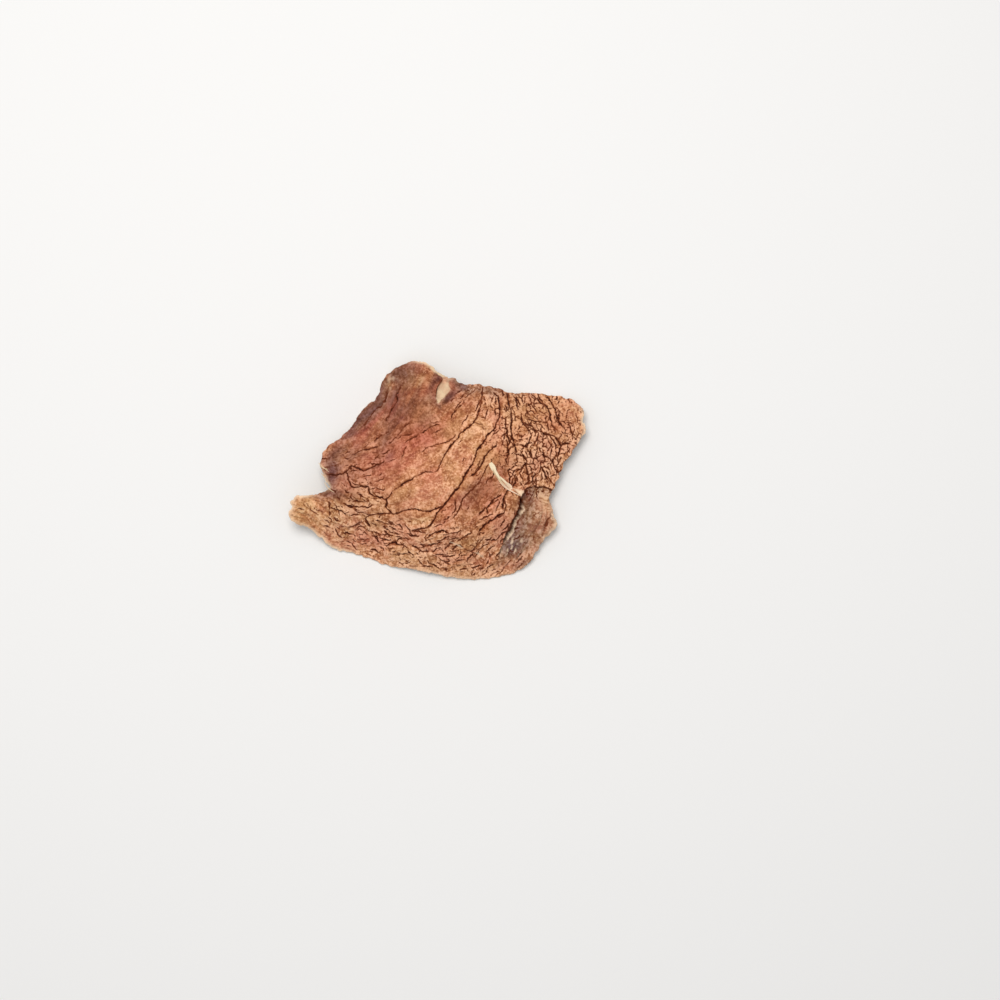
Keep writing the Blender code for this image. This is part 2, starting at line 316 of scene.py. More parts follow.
# The long creases in the skin, from their deep end or from the top: how deep, how wide, and where
CREASES = dict(
    ridge_right=(0.50, 0.20, (13.6, 18.9), (14.8, 17.5), (15.1, 15.1), (15.1, 13.6), (14.0, 11.0),
                 (11.7, 7.8), (9.3, 3.5), (7.4, -0.6), (5.4, -4.0), (2.3, -7.8), (-0.6, -11.4),
                 (-2.5, -13.4), (-6.4, -14.6)),
    ridge_left=(0.40, 0.16, (11.2, 19.6), (9.3, 12.7), (6.4, 9.3), (3.7, 5.9), (-0.1, -0.1),
                (-3.5, -0.6), (-6.4, -2.5), (-10.5, -4.9), (-12.7, -7.4)),
    field_left=(0.52, 0.18, (16.5, 19.2), (17.5, 16.0), (17.9, 13.0), (17.9, 11.0), (18.4, 6.9),
                (19.1, 3.9)),
    field_top_1=(0.47, 0.16, (21.4, 18.4), (20.9, 16.3)),
    field_top_2=(0.47, 0.16, (21.8, 16.7), (23.5, 15.2), (23.9, 14.2)),
    field_top_3=(0.49, 0.17, (23.6, 18.6), (25.2, 16.9), (26.7, 15.1), (27.4, 12.0), (28.4, 10.1)),
    field_top_4=(0.49, 0.17, (26.0, 18.9), (27.9, 16.5), (28.6, 14.4), (29.5, 12.2),
                 (28.9, 11.0)),
    field_1=(0.47, 0.17, (16.5, 12.2), (17.0, 8.6), (17.6, 6.9), (17.0, 5.1),
             (17.1, 3.9), (16.7, 2.6), (16.9, 1.5)),
    field_2=(0.49, 0.17, (20.3, 13.4), (20.8, 11.5), (22.5, 8.3), (21.4, 6.1), (19.1, 6.1)),
    field_3=(0.47, 0.17, (24.3, 9.3), (24.1, 7.6), (23.1, 6.2)),
    field_4=(0.43, 0.16, (24.9, 9.6), (26.3, 8.3)),
    field_5=(0.49, 0.17, (28.2, 8.3), (29.6, 6.2), (28.7, 3.5)),
    field_6=(0.43, 0.16, (31.9, 11.3), (32.1, 9.6), (32.9, 7.4)),
    field_7=(0.49, 0.17, (20.1, 4.4), (21.3, 1.9), (19.1, -0.8)),
    field_8=(0.47, 0.17, (21.4, 5.6), (22.8, 3.0), (24.2, 3.5)),
    field_9=(0.49, 0.17, (24.9, 5.6), (25.7, 2.2), (24.5, 1.5), (25.5, -0.2), (26.5, -2.4)),
    field_10=(0.49, 0.17, (21.1, 1.9), (22.1, -2.4), (20.9, -4.2)),
    field_11=(0.45, 0.16, (21.6, 12.6), (22.5, 11.2), (23.3, 10.0), (24.2, 9.2)),
    field_12=(0.45, 0.16, (24.9, 11.2), (25.0, 9.8), (26.5, 8.6), (27.6, 7.6)),
    field_13=(0.47, 0.16, (24.2, 9.2), (24.3, 7.2), (23.8, 6.0), (23.9, 4.6)),
    field_14=(0.43, 0.15, (29.9, 6.3), (31.0, 6.6), (32.5, 6.6)),
    field_15=(0.43, 0.15, (18.5, 18.5), (19.8, 16.8), (20.1, 16.0)),
    field_16=(0.38, 0.15, (21.9, 12.6), (23.6, 12.1), (25.1, 11.9), (26.9, 11.6)),
    ridge_second=(0.46, 0.17, (14.5, 6.3), (13.1, 5.1), (12.1, 4.2), (11.6, 2.8), (10.9, 1.7),
                  (10.0, 0.6), (8.9, -0.9), (7.8, -1.5)),
    ridge_loop=(0.22, 0.13, (8.4, 11.9), (10.7, 10.9), (11.3, 9.2)),
    wedge_1=(0.30, 0.14, (5.3, 18.1), (6.9, 19.0), (8.0, 19.7)),
    wedge_2=(0.32, 0.15, (10.7, 17.6), (10.0, 16.3), (9.1, 15.7)),
    wedge_3=(0.36, 0.16, (3.2, 12.5), (3.9, 13.8), (6.2, 16.1)),
    plate_left=(0.50, 0.17, (-12.6, -6.6), (-12.3, -8.6), (-11.4, -9.8), (-10.3, -10.5),
                (-6.4, -9.5), (-1.6, -9.3), (1.6, -8.7)),
    plate_below=(0.42, 0.16, (-9.0, -10.2), (-12.5, -10.3), (-16.2, -11.1), (-17.3, -12.2),
                 (-16.2, -14.1)),
    left_top=(0.45, 0.18, (-26.9, -0.8), (-23.6, -1.1), (-22.1, -0.2), (-20.5, 1.2), (-17.3, -0.2),
              (-14.2, 1.6), (-12.2, 2.5)),
    left_down=(0.45, 0.17, (-22.1, -0.2), (-21.0, -3.2), (-20.1, -4.3), (-16.6, -3.7),
               (-15.8, -5.6), (-12.5, -7.1)),
    left_short=(0.48, 0.17, (-14.3, 5.9), (-17.2, 5.4), (-20.8, 4.0)),
    pink_1=(0.26, 0.14, (-8.5, 2.5), (-8.0, 4.5), (-7.2, 5.8)),
    pink_4=(0.32, 0.15, (-7.7, 6.6), (-6.4, 7.7), (-4.1, 8.5), (-1.8, 10.4), (0.6, 10.9)),
    left_upper=(0.34, 0.15, (-15.5, 6.6), (-14.4, 8.1), (-11.7, 9.6)),
    pink_2=(0.26, 0.14, (-4.0, 4.0), (-2.0, 5.4), (0.9, 6.4), (3.4, 7.4), (4.8, 8.9)),
    pink_3=(0.22, 0.15, (-11.9, 5.9), (-10.5, 7.9), (-8.6, 9.9), (-6.5, 11.8)),
    fork=(0.34, 0.15, (4.5, -6.9), (4.2, -10.2)),
    slope_1=(0.36, 0.16, (10.7, -2.4), (8.3, -4.4), (6.3, -6.9), (4.8, -10.3), (3.9, -11.8)),
    slope_2=(0.34, 0.15, (12.2, 1.5), (10.7, -1.4), (9.3, -3.4)),
    slope_3=(0.56, 0.19, (17.2, -4.7), (16.6, -6.3), (15.9, -7.8), (15.5, -9.2)),
    slope_4=(0.56, 0.19, (16.8, -8.3), (16.2, -9.0), (15.6, -10.5), (11.7, -13.1), (10.2, -14.8)),
    slope_5=(0.54, 0.18, (15.7, -5.9), (14.9, -6.5), (13.6, -7.2), (13.1, -8.6), (12.3, -9.5),
             (12.3, -10.6)),
    slope_6=(0.50, 0.17, (12.2, -9.0), (11.4, -9.8), (9.8, -10.7)),
    slope_7=(0.46, 0.17, (16.7, -14.3), (15.0, -15.2), (14.0, -16.6), (12.5, -17.0)),
    strand_right_1=(0.40, 0.15, (24.4, 2.6), (24.8, 0.2), (23.6, -1.0), (23.0, -2.9), (22.9, -4.4)),
    strand_right_2=(0.42, 0.16, (18.6, -0.2), (17.3, 0.0), (17.6, -2.6), (17.0, -4.2)),
    strand_right_3=(0.42, 0.16, (20.0, 1.0), (18.7, 0.9), (18.0, 0.2)),
    strand_right_4=(0.42, 0.16, (18.9, -0.9), (18.75, -2.5), (18.1, -4.2)),
    lower_1=(0.42, 0.15, (-25.9, -8.4), (-24.3, -9.6), (-23.1, -10.2), (-21.9, -11.1)),
    lobe_1=(0.20, 0.12, (-33.5, -6.6), (-32.4, -7.2), (-31.6, -7.9), (-30.9, -9.3), (-30.3, -10.0),
            (-29.4, -10.5), (-28.0, -10.6)),
    lobe_2=(0.18, 0.11, (-33.8, -7.3), (-32.8, -7.9), (-32.0, -8.7), (-31.1, -9.4), (-30.4, -10.2)),
    lobe_3=(0.19, 0.12, (-30.9, -7.1), (-30.6, -8.0), (-30.0, -8.9), (-29.0, -9.6), (-27.2, -9.9)),
    lobe_4=(0.18, 0.12, (-30.0, -6.9), (-28.2, -7.3)),
    lobe_5=(0.42, 0.15, (-26.4, -7.3), (-25.8, -8.1), (-26.1, -8.6), (-26.1, -9.6), (-26.0, -11.0)),
    lobe_6=(0.18, 0.11, (-34.2, -9.4), (-32.6, -9.4), (-31.4, -10.6), (-30.0, -11.6)),
    lobe_7=(0.18, 0.11, (-34.4, -10.6), (-32.6, -11.0), (-30.4, -12.8)),
    lobe_8=(0.36, 0.14, (-24.1, -6.2), (-23.3, -7.4)),
    lower_2=(0.32, 0.15, (-22.8, -17.0), (-20.8, -18.0)),
    lower_3=(0.46, 0.16, (-12.6, -18.6), (-10.8, -17.6), (-8.9, -18.2), (-8.0, -18.0)),
    lower_4=(0.44, 0.16, (-7.1, -17.9), (-5.7, -18.5), (-4.4, -19.6)),
    lower_5=(0.34, 0.14, (-20.6, -15.4), (-19.8, -16.2)),
    lower_6=(0.36, 0.14, (-19.4, -17.1), (-18.7, -16.7), (-17.3, -16.8)),
    lower_7=(0.38, 0.14, (-16.2, -15.0), (-15.1, -16.3), (-14.4, -16.8)),
    lower_8=(0.38, 0.14, (-12.8, -15.1), (-11.7, -16.0), (-10.4, -16.3)),
    lower_9=(0.42, 0.15, (-10.2, -16.0), (-9.3, -16.3), (-8.2, -16.6), (-7.0, -16.9)),
    lower_10=(0.40, 0.14, (-8.9, -19.3), (-8.2, -18.4)),
    lower_11=(0.38, 0.14, (-4.9, -17.8), (-3.1, -18.1), (-1.3, -18.0), (0.0, -17.3), (1.4, -17.2)),
    lower_12=(0.36, 0.14, (-4.3, -14.0), (-2.8, -14.9)),
    lower_13=(0.40, 0.14, (-2.8, -16.5), (-1.3, -15.4), (0.0, -14.8), (1.1, -14.6), (2.9, -15.0)),
    lower_14=(0.38, 0.14, (1.6, -19.0), (2.7, -18.3), (3.4, -17.4)),
    lower_15=(0.44, 0.16, (-15.1, -20.0), (-13.7, -20.7)),
    lower_16=(0.36, 0.14, (-10.2, -10.7), (-9.3, -11.4)),
    lower_17=(0.36, 0.14, (-15.5, -13.2), (-14.6, -14.1)),
    lower_18=(0.26, 0.16, (-13.9, -12.3), (-12.4, -13.0), (-11.3, -13.4)),
    lower_19=(0.44, 0.15, (-20.6, -6.3), (-19.5, -7.4), (-17.3, -8.0)),
    lower_20=(0.44, 0.15, (-19.1, -9.9), (-17.7, -10.3), (-16.2, -11.0)),
    lower_21=(0.36, 0.14, (-22.8, -7.7), (-21.5, -8.5), (-20.0, -8.8)),
    lower_22=(0.30, 0.13, (-22.4, -13.7), (-20.4, -13.7), (-19.3, -12.4)),
    scab_right=(0.40, 0.15, (-9.3, 20.5), (-9.2, 19.9), (-10.1, 18.5), (-10.4, 17.0),
                (-11.8, 13.7), (-12.8, 11.9)),
    band_edge=(0.30, 0.26, (-12.8, 19.5), (-13.8, 16.1), (-15.0, 15.3), (-17.5, 12.3),
               (-18.7, 10.9)),
)  # fmt: skip

# Lines that the fine wrinkles follow where no long crease shows their direction
GRAIN_LINES = (
    ((-7.6, 9.5), (-4.0, 17.0), (-0.8, 24.7)),
    ((-11.0, 24.5), (-9.0, 21.0)),
    ((-34.3, -7.1), (-30.5, -9.0), (-27.1, -12.4)),
    ((-28.3, -12.4), (-24.5, -15.5), (-21.1, -18.0)),
    ((-23.5, -18.4), (-4.2, -22.6), (6.0, -24.6)),
    ((-13.9, -14.3), (-1.8, -18.0), (7.8, -16.2), (13.0, -11.5)),
    ((-24.0, -6.0), (-18.0, -8.5), (-14.0, -9.0)),
    ((7.8, -24.5), (12.0, -20.5), (15.1, -17.0)),
    ((21.5, -8.5), (19.5, -13.5), (17.2, -18.0)),
    ((26.0, -7.5), (25.5, -12.0), (23.0, -17.0)),
    ((34.0, 15.5), (34.8, 12.5), (34.5, 9.5)),
    ((30.5, 16.5), (32.0, 13.0)),
)


def flow_angle():
    """A map of the direction that the wrinkles run in, taken from the lines nearest by."""
    turn, lean = np.zeros(MAP_X.shape), np.zeros(MAP_X.shape)
    lines = [places[2:] for places in CREASES.values()]
    for line in [*lines, *GRAIN_LINES]:
        points = np.array(line, float)
        for start, end in zip(points[:-1], points[1:]):
            middle, way = (start + end) / 2.0, end - start
            length = math.hypot(*way)
            angle = 2.0 * math.atan2(way[1], way[0])
            away = (MAP_X - middle[0]) ** 2 + (MAP_Y - middle[1]) ** 2
            weight = length / (away + 2.5) ** 2
            turn += weight * math.cos(angle)
            lean += weight * math.sin(angle)
    return 0.5 * np.arctan2(lean, turn)


flow = flow_angle()
ALONG_X, ALONG_Y = np.cos(flow), np.sin(flow)
warp_x = 0.14 * patches(21, 1.6) + 0.30 * patches(22, 4.0)
warp_y = 0.14 * patches(23, 1.6) + 0.30 * patches(24, 4.0)
jag_x = 0.075 * patches(25, 0.55)
jag_y = 0.075 * patches(26, 0.55)


def combed(values, reach, across=False):
    """A map smeared along the wrinkles' direction or across it, by a reach to both sides."""
    total = values.copy()
    steps = max(1, round(reach / MAP_STEP))
    way_x, way_y = (-ALONG_Y, ALONG_X) if across else (ALONG_X, ALONG_Y)
    rows, columns = np.indices(values.shape)
    top_row, top_column = values.shape[0] - 1, values.shape[1] - 1
    for sign in (1.0, -1.0):
        row, column = rows.astype(float), columns.astype(float)
        heading_x, heading_y = sign * way_x, sign * way_y
        for _ in range(steps):
            column = np.clip(column + heading_x, 0, top_column)
            row = np.clip(row + heading_y, 0, top_row)
            near = (row.round().astype(int), column.round().astype(int))
            total += values[near]
            next_x, next_y = way_x[near], way_y[near]
            same = np.where(next_x * heading_x + next_y * heading_y < 0.0, -1.0, 1.0)
            heading_x, heading_y = next_x * same, next_y * same
    return total / (2 * steps + 1)


def streaks(seed, size, reach, across=False):
    """Random streaks along or across the wrinkles' direction, with a mean of zero and a spread of
    one."""
    noise = combed(patches(seed, size), reach, across)
    return (noise - noise.mean()) / noise.std()


# How the skin wrinkles from place to place: where, how far that reaches, the length and width of
# its cells, how deep they are parted along and across the flow, how deep the short creases between
# them are, and how deep its streaks are
ZONES = dict(
    field=((25.0, 6.5), 7.0, 2.3, 1.4, 0.38, 0.36, 0.31, 0.03),
    field_top=((22.0, 16.5), 5.0, 3.2, 1.4, 0.32, 0.22, 0.30, 0.03),
    field_left=((18.6, 8.5), 2.6, 1.6, 1.1, 0.34, 0.46, 0.36, 0.03),
    right_tip=((34.0, 13.0), 3.5, 1.8, 1.2, 0.16, 0.18, 0.26, 0.03),
    below_strand=((20.0, -1.5), 4.0, 2.6, 1.4, 0.32, 0.26, 0.30, 0.05),
    ridge=((7.0, 8.5), 4.5, 3.2, 2.0, 0.10, 0.08, 0.16, 0.05),
    ridge_foot=((2.0, -1.0), 4.0, 3.8, 2.2, 0.05, 0.03, 0.06, 0.05),
    plate=((-5.0, -6.0), 5.0, 4.0, 2.4, 0.04, 0.02, 0.03, 0.05),
    beside_wedge=((9.0, 16.5), 3.5, 2.8, 1.3, 0.20, 0.10, 0.32, 0.05),
    pink=((-3.5, 8.0), 5.0, 2.6, 1.3, 0.08, 0.05, 0.17, 0.07),
    top=((-5.5, 19.0), 5.5, 3.6, 1.6, 0.03, 0.02, 0.05, 0.08),
    band=((-15.5, 15.5), 3.5, 2.4, 1.0, 0.05, 0.03, 0.08, 0.10),
    red=((-18.0, 9.5), 4.5, 2.8, 1.6, 0.05, 0.04, 0.10, 0.08),
    left=((-20.0, 0.0), 5.0, 2.4, 1.4, 0.12, 0.10, 0.28, 0.07),
    under_left=((-20.5, -9.0), 5.0, 2.6, 1.1, 0.14, 0.09, 0.36, 0.07),
    lower_left=((-23.0, -14.5), 4.5, 2.8, 1.2, 0.20, 0.14, 0.28, 0.06),
    lobe=((-32.5, -9.5), 5.0, 4.2, 0.9, 0.03, 0.02, 0.04, 0.20),
    bottom=((-6.0, -19.0), 7.0, 2.8, 1.2, 0.22, 0.16, 0.35, 0.06),
    bottom_right=((11.0, -20.0), 6.0, 2.6, 1.2, 0.20, 0.15, 0.36, 0.06),
    slope=((11.5, -9.0), 5.5, 3.8, 1.5, 0.14, 0.06, 0.22, 0.08),
    slope_top=((12.0, 1.5), 3.5, 2.6, 1.2, 0.18, 0.10, 0.24, 0.07),
    flap=((23.5, -11.0), 4.0, 2.6, 1.2, 0.10, 0.06, 0.22, 0.10),
)


def spread_zones():
    """Maps of each wrinkle figure, blended between the zones."""
    totals = [np.zeros(MAP_X.shape) for _ in range(6)]
    weights = np.zeros(MAP_X.shape)
    wander = 0.25 * patches(31, 5.0)
    for (x, y), reach, *figures in ZONES.values():
        away = ((MAP_X - x) ** 2 + (MAP_Y - y) ** 2) / reach**2
        weight = np.exp(-away * (1.0 + wander.clip(-0.6, 0.6))) + 1e-5 / (away + 1.0)
        weights += weight
        for total, figure in zip(totals, figures):
            total += weight * figure
    return [total / weights for total in totals]


cell_length, cell_width, depth_along, depth_across, dash_depth, streak_depth = spread_zones()


def window(lowest, highest):
    """The part of the maps between two corners in millimetres."""
    left, below = (np.array(lowest) - (map_across[0], map_up[0])) / MAP_STEP
    right, above = (np.array(highest) - (map_across[0], map_up[0])) / MAP_STEP
    across = slice(max(0, int(left)), max(0, int(right) + 1))
    return slice(max(0, int(below)), max(0, int(above) + 1)), across


def scatter_cells(random, size):
    """Middles of wrinkle cells, no two of them closer than the local cell size allows: a row each
    of x, y, the wrinkles' direction, the cell's length and its width."""
    free = from_margin > -1.2
    rows, columns = np.nonzero(free)
    cells = []
    for here in random.permutation(len(rows)):
        row, column = rows[here], columns[here]
        if not free[row, column]:
            continue
        x = MAP_X[row, column] + random.uniform(-0.5, 0.5) * MAP_STEP
        y = MAP_Y[row, column] + random.uniform(-0.5, 0.5) * MAP_STEP
        along_x, along_y = ALONG_X[row, column], ALONG_Y[row, column]
        length, width = cell_length[row, column] * size, cell_width[row, column] * size
        part = window((x - length, y - length), (x + length, y + length))
        dx, dy = MAP_X[part] - x, MAP_Y[part] - y
        u = (dx * along_x + dy * along_y) / length
        v = (dy * along_x - dx * along_y) / width
        free[part] &= u * u + v * v > 0.66
        cells.append((x, y, along_x, along_y, length, width))
    return np.array(cells).T


def crease_cells(seed, size):
    """Two maps of a net of creases that part long cells: how far each place is from the nearest
    crease, and how strongly that crease is cut."""
    random = np.random.default_rng(seed)
    cells = scatter_cells(random, size)
    shape = MAP_X.shape
    nearest, second = np.full(shape, 9.0), np.full(shape, 9.0)
    owner, rival = np.zeros(shape, int), np.zeros(shape, int)
    place_x = MAP_X + warp_x * size + jag_x
    place_y = MAP_Y + warp_y * size + jag_y
    for number, (x, y, along_x, along_y, length, width) in enumerate(zip(*cells)):
        reach = 1.9 * max(length, width) + 0.8
        part = window((x - reach, y - reach), (x + reach, y + reach))
        dx, dy = place_x[part] - x, place_y[part] - y
        away = np.hypot((dx * along_x + dy * along_y) / length, (dy * along_x - dx * along_y) / width)
        first, next_one = away < nearest[part], away < second[part]
        rival[part] = np.where(first, owner[part], np.where(next_one, number, rival[part]))
        second[part] = np.where(first, nearest[part], np.minimum(second[part], away))
        owner[part] = np.where(first, number, owner[part])
        nearest[part] = np.minimum(nearest[part], away)
    gap = second - nearest
    slope = np.hypot(*np.gradient(blurred(gap, 0.05), MAP_STEP))
    distance = gap / slope.clip(0.25, 3.0)
    x, y, along_x, along_y, length, width = cells
    dx, dy = x[rival] - x[owner], y[rival] - y[owner]
    u = (dx * along_x[owner] + dy * along_y[owner]) / length[owner]
    v = (dy * along_x[owner] - dx * along_y[owner]) / width[owner]
    sideways = v * v / (u * u + v * v + 1e-6)
    lucky = random.uniform(0.0, 1.0, 4096)
    pair = np.minimum(owner, rival) * 131 + np.maximum(owner, rival) * 7919
    luck = lucky[pair % 4096]
    cut = (depth_along * sideways + depth_across * (1.0 - sideways)) * (0.25 + 1.2 * luck**1.3)
    return distance, blurred(cut, 0.12)


def line_distance(line, reach):
    """Maps of how far each place lies from a line, and how far its nearest point on the line is
    from the line's closer end."""
    points = rounded(line, 0.5)
    away, along = np.full(MAP_X.shape, 9.0), np.zeros(MAP_X.shape)
    place_x = MAP_X + 0.5 * warp_x + jag_x
    place_y = MAP_Y + 0.5 * warp_y + jag_y
    for number, (start, end) in enumerate(zip(points[:-1], points[1:])):
        part = window(np.minimum(start, end) - reach, np.maximum(start, end) + reach)
        way = end - start
        dx, dy = place_x[part] - start[0], place_y[part] - start[1]
        share = np.clip((dx * way[0] + dy * way[1]) / (way @ way), 0.0, 1.0)
        here = np.hypot(dx - way[0] * share, dy - way[1] * share)
        closer = here < away[part]
        along[part] = np.where(closer, (number + share) * 0.5, along[part])
        away[part] = np.where(closer, here, away[part])
    return away, np.minimum(along, (len(points) - 1) * 0.5 - along)


def press_creases():
    """Maps of the long creases: their depth in millimetres, and how dark they are painted from 0 to 1, partly the
    skin's own colour and partly painted shade.
    """
    depth, dark = np.zeros(MAP_X.shape), np.zeros(MAP_X.shape)
    vary = (1.05 + 0.34 * patches(41, 1.1)).clip(0.45, 1.5)
    for deep, wide, *line in CREASES.values():
        away, along = line_distance(line, 2.2)
        cut = deep * smooth_step(along, -0.3, 0.9) * vary
        depth = np.maximum(depth, cut * np.exp(-((away / (1.45 * wide)) ** 1.4)))
        dark = np.maximum(dark, (cut / 0.35) * np.exp(-((away / (0.68 * wide)) ** 2)))
    return depth, dark


def cell_at(x, y):
    """The rows and columns of the map cells that hold places."""
    row = np.round((y - map_up[0]) / MAP_STEP).astype(int).clip(0, len(map_up) - 1)
    column = np.round((x - map_across[0]) / MAP_STEP).astype(int).clip(0, len(map_across) - 1)
    return row, column


# The short creases, which waver along the flow or across it and never meet their own ends
DASH_STEP = 0.10
DASH_SWAY = 0.17
DASH_CELLS = 6


def waver(random, x, y, length, turn):
    """Points on short creases through places, turned from the flow by an angle: a row each of x,
    y, the direction's two parts, the crease's number, and the share of the way to its end."""
    number = np.tile(np.arange(len(x)), 2)
    way = np.repeat((1.0, -1.0), len(x))
    x, y, half, turn = x[number], y[number], length[number] / 2.0, turn[number]
    bend = np.zeros(len(number))
    points = []
    for step in range(int(half.max() / DASH_STEP) + 1):
        cell = cell_at(x, y)
        turned_x = ALONG_X[cell] * np.cos(turn) - ALONG_Y[cell] * np.sin(turn)
        turned_y = ALONG_X[cell] * np.sin(turn) + ALONG_Y[cell] * np.cos(turn)
        if step:
            way = np.where(turned_x * heading_x + turned_y * heading_y < 0.0, -1.0, 1.0)
        heading_x, heading_y = turned_x * way, turned_y * way
        bend = 0.85 * bend + DASH_SWAY * random.standard_normal(len(bend))
        go_x = heading_x * np.cos(bend) - heading_y * np.sin(bend)
        go_y = heading_x * np.sin(bend) + heading_y * np.cos(bend)
        points.append(np.stack([x, y, go_x, go_y, number, step * DASH_STEP / half]))
        x, y = x + DASH_STEP * go_x, y + DASH_STEP * go_y
    points = np.concatenate(points, axis=1)
    return points[:, points[5] <= 1.0]


def line_maps(x, y, way_x, way_y, cut):
    """Maps of how far each place lies from the nearest of many line points, and how deep the line
    is cut there. Each point comes with its line's direction."""
    order = np.argsort(cut)
    held = np.full(MAP_X.shape, -1)
    held[cell_at(x[order], y[order])] = order
    away, depth = np.full(MAP_X.shape, 9.0), np.zeros(MAP_X.shape)
    place_x, place_y = MAP_X + jag_x, MAP_Y + jag_y
    for up in range(-DASH_CELLS, DASH_CELLS + 1):
        for over in range(-DASH_CELLS, DASH_CELLS + 1):
            moved = np.roll(held, (up, over), axis=(0, 1))
            near = np.nonzero(moved >= 0)
            point = moved[near]
            dx, dy = place_x[near] - x[point], place_y[near] - y[point]
            along = np.abs(dx * way_x[point] + dy * way_y[point])
            aside = dx * way_y[point] - dy * way_x[point]
            here = np.hypot(aside, (along - DASH_STEP).clip(0.0, None))
            closer = here < away[near]
            cells = tuple(part[closer] for part in near)
            away[cells] = here[closer]
            depth[cells] = cut[point[closer]]
    return away, depth


def dashes(seed, size, degrees, spread, long, depth):
    """Distance and depth maps of short creases: how far apart in cells, their turn from the flow
    and its spread in degrees, their length in cells, and a map of how deep they are."""
    random = np.random.default_rng(seed)
    x, y, _, _, length, _ = scatter_cells(random, size)
    luck = random.uniform(0.0, 1.0, len(x))
    length = length * long * random.uniform(0.5, 1.5, len(x))
    turn = np.radians(degrees + spread * random.standard_normal(len(x)))
    cut = depth[cell_at(x, y)] * (0.10 + 1.5 * luck**1.6)
    x, y, way_x, way_y, number, share = waver(random, x, y, length, turn)
    return line_maps(x, y, way_x, way_y, cut[number.astype(int)] * (1.0 - share**2) ** 0.7)


def cut_lines(distance, cut, width):
    """The relief of lines cut in the skin, how dark they are painted, partly the skin's own colour and partly
    painted shade, and the painted highlights on their pale shoulders.
    """
    width = width * (0.75 + 0.45 * smooth_step(cut, 0.10, 0.45))
    valley = np.exp(-((distance / (1.5 * width)) ** 1.3))
    shoulder = np.exp(-(((distance - 2.7 * width) / (1.3 * width)) ** 2))
    dark = smooth_step(cut, 0.02, 0.34) * np.exp(-((distance / (1.08 * width)) ** 2))
    return cut * (0.25 * shoulder - valley), dark, smooth_step(cut, 0.04, 0.30) * shoulder


def net(seed, size, strength, width):
    """The relief of one net of cells, its painted dark lines, partly the skin's own colour and partly painted shade,
    and the painted highlights on their pale shoulders.
    """
    distance, cut = crease_cells(seed, size)
    cut = cut * strength * (1.0 + 0.45 * patches(seed + 5, 1.8)).clip(0.10, 1.8)
    lines, dark, rim_highlight = cut_lines(distance, cut, width)
    return lines + 0.25 * cut * (1.0 - np.exp(-distance / (0.3 * size))), dark, rim_highlight


# The creases are painted dark: partly the skin's own deeper colour in its folds, partly painted shade in them.
crease_depth, crease_dark_and_shade = press_creases()
folds = -crease_depth
dark_lines_and_shade = crease_dark_and_shade
painted_rim_highlights = np.zeros(MAP_X.shape)
for (line_relief, line_dark, line_rim_highlight), deep, share in (
    (net(51, 1.12, 1.0, 0.100), 1.0, 1.0),
    (net(52, 0.62, 0.34, 0.075), 1.0, 0.7),
    (cut_lines(*dashes(65, 1.00, 0.0, 12.0, 1.0, dash_depth), 0.100), 0.8, 1.0),
    (cut_lines(*dashes(66, 0.66, 0.0, 26.0, 0.7, 0.75 * dash_depth), 0.078), 0.6, 0.85),
    (cut_lines(*dashes(67, 0.58, 90.0, 20.0, 0.75, depth_across), 0.075), 0.7, 0.9),
):
    folds += deep * line_relief
    dark_lines_and_shade = np.maximum(dark_lines_and_shade, share * line_dark)
    painted_rim_highlights = np.maximum(painted_rim_highlights, share * line_rim_highlight)
dark_lines_and_shade = dark_lines_and_shade.clip(0.0, 1.0)

# Fine ups and downs between the creases, strongest where the skin is most creased
rough = 0.55 + 1.7 * dash_depth
mottle = rough * (0.6 * streaks(68, 0.34, 0.35) + 0.6 * streaks(69, 0.34, 0.35, across=True))
FOLD_DEPTH = 0.54
relief = (
    FOLD_DEPTH * folds
    + 0.016 * mottle
    + streak_depth * streaks(61, 0.45, 1.6)
    + 0.012 * patches(62, 0.5)
    + 0.09 * patches(63, 3.2)
    + 0.05 * streaks(64, 1.4, 3.0)
)


def shape_mask(outline, soft):
    """A map that is one inside an outline and zero outside, with a soft edge."""
    x, y = MAP_X + 0.4 * warp_x + jag_x, MAP_Y + 0.4 * warp_y + jag_y
    return blurred(inside(outline, x, y).astype(float), soft).clip(0.0, 1.0)


# The torn flap at the lower right, which lies lower than the skin: the overhanging edge of the skin
# beside it, the flap's own torn edge, and the broken edge across its top
OVERHANG = (
    (20.0, -6.6), (19.9, -8.1), (19.0, -10.0), (18.1, -12.0), (16.8, -14.0), (16.5, -15.3),
    (16.0, -16.7), (15.7, -18.0), (15.3, -19.4), (14.9, -20.8),
)  # fmt: skip
TORN_EDGE = (
    (20.9, -7.2), (21.1, -9.1), (20.5, -10.7), (19.6, -12.3), (19.0, -13.6), (18.5, -15.0),
    (17.7, -16.2), (16.9, -17.2), (16.1, -17.9), (15.7, -19.4), (15.2, -20.8),
)  # fmt: skip
FLAP_TOP = (
    (20.0, -6.6), (20.8, -5.8), (21.9, -4.8), (23.0, -4.4), (23.5, -4.0), (24.1, -4.3),
    (26.0, -4.0), (27.5, -4.6), (28.5, -5.2),
)  # fmt: skip
FLAP_FOOT = ((17.6, -22.4), (22.0, -25.0), (29.0, -20.0), (32.0, -13.0))
FLAP_STEP = 0.7
GAP_DEPTH = 1.0
LIP_HEIGHT = 0.35
LIP_REACH = 0.9
TORN_HEIGHT = 0.35
TORN_WIDTH = 0.12
GAP_SHADOW_WIDTH = 0.24

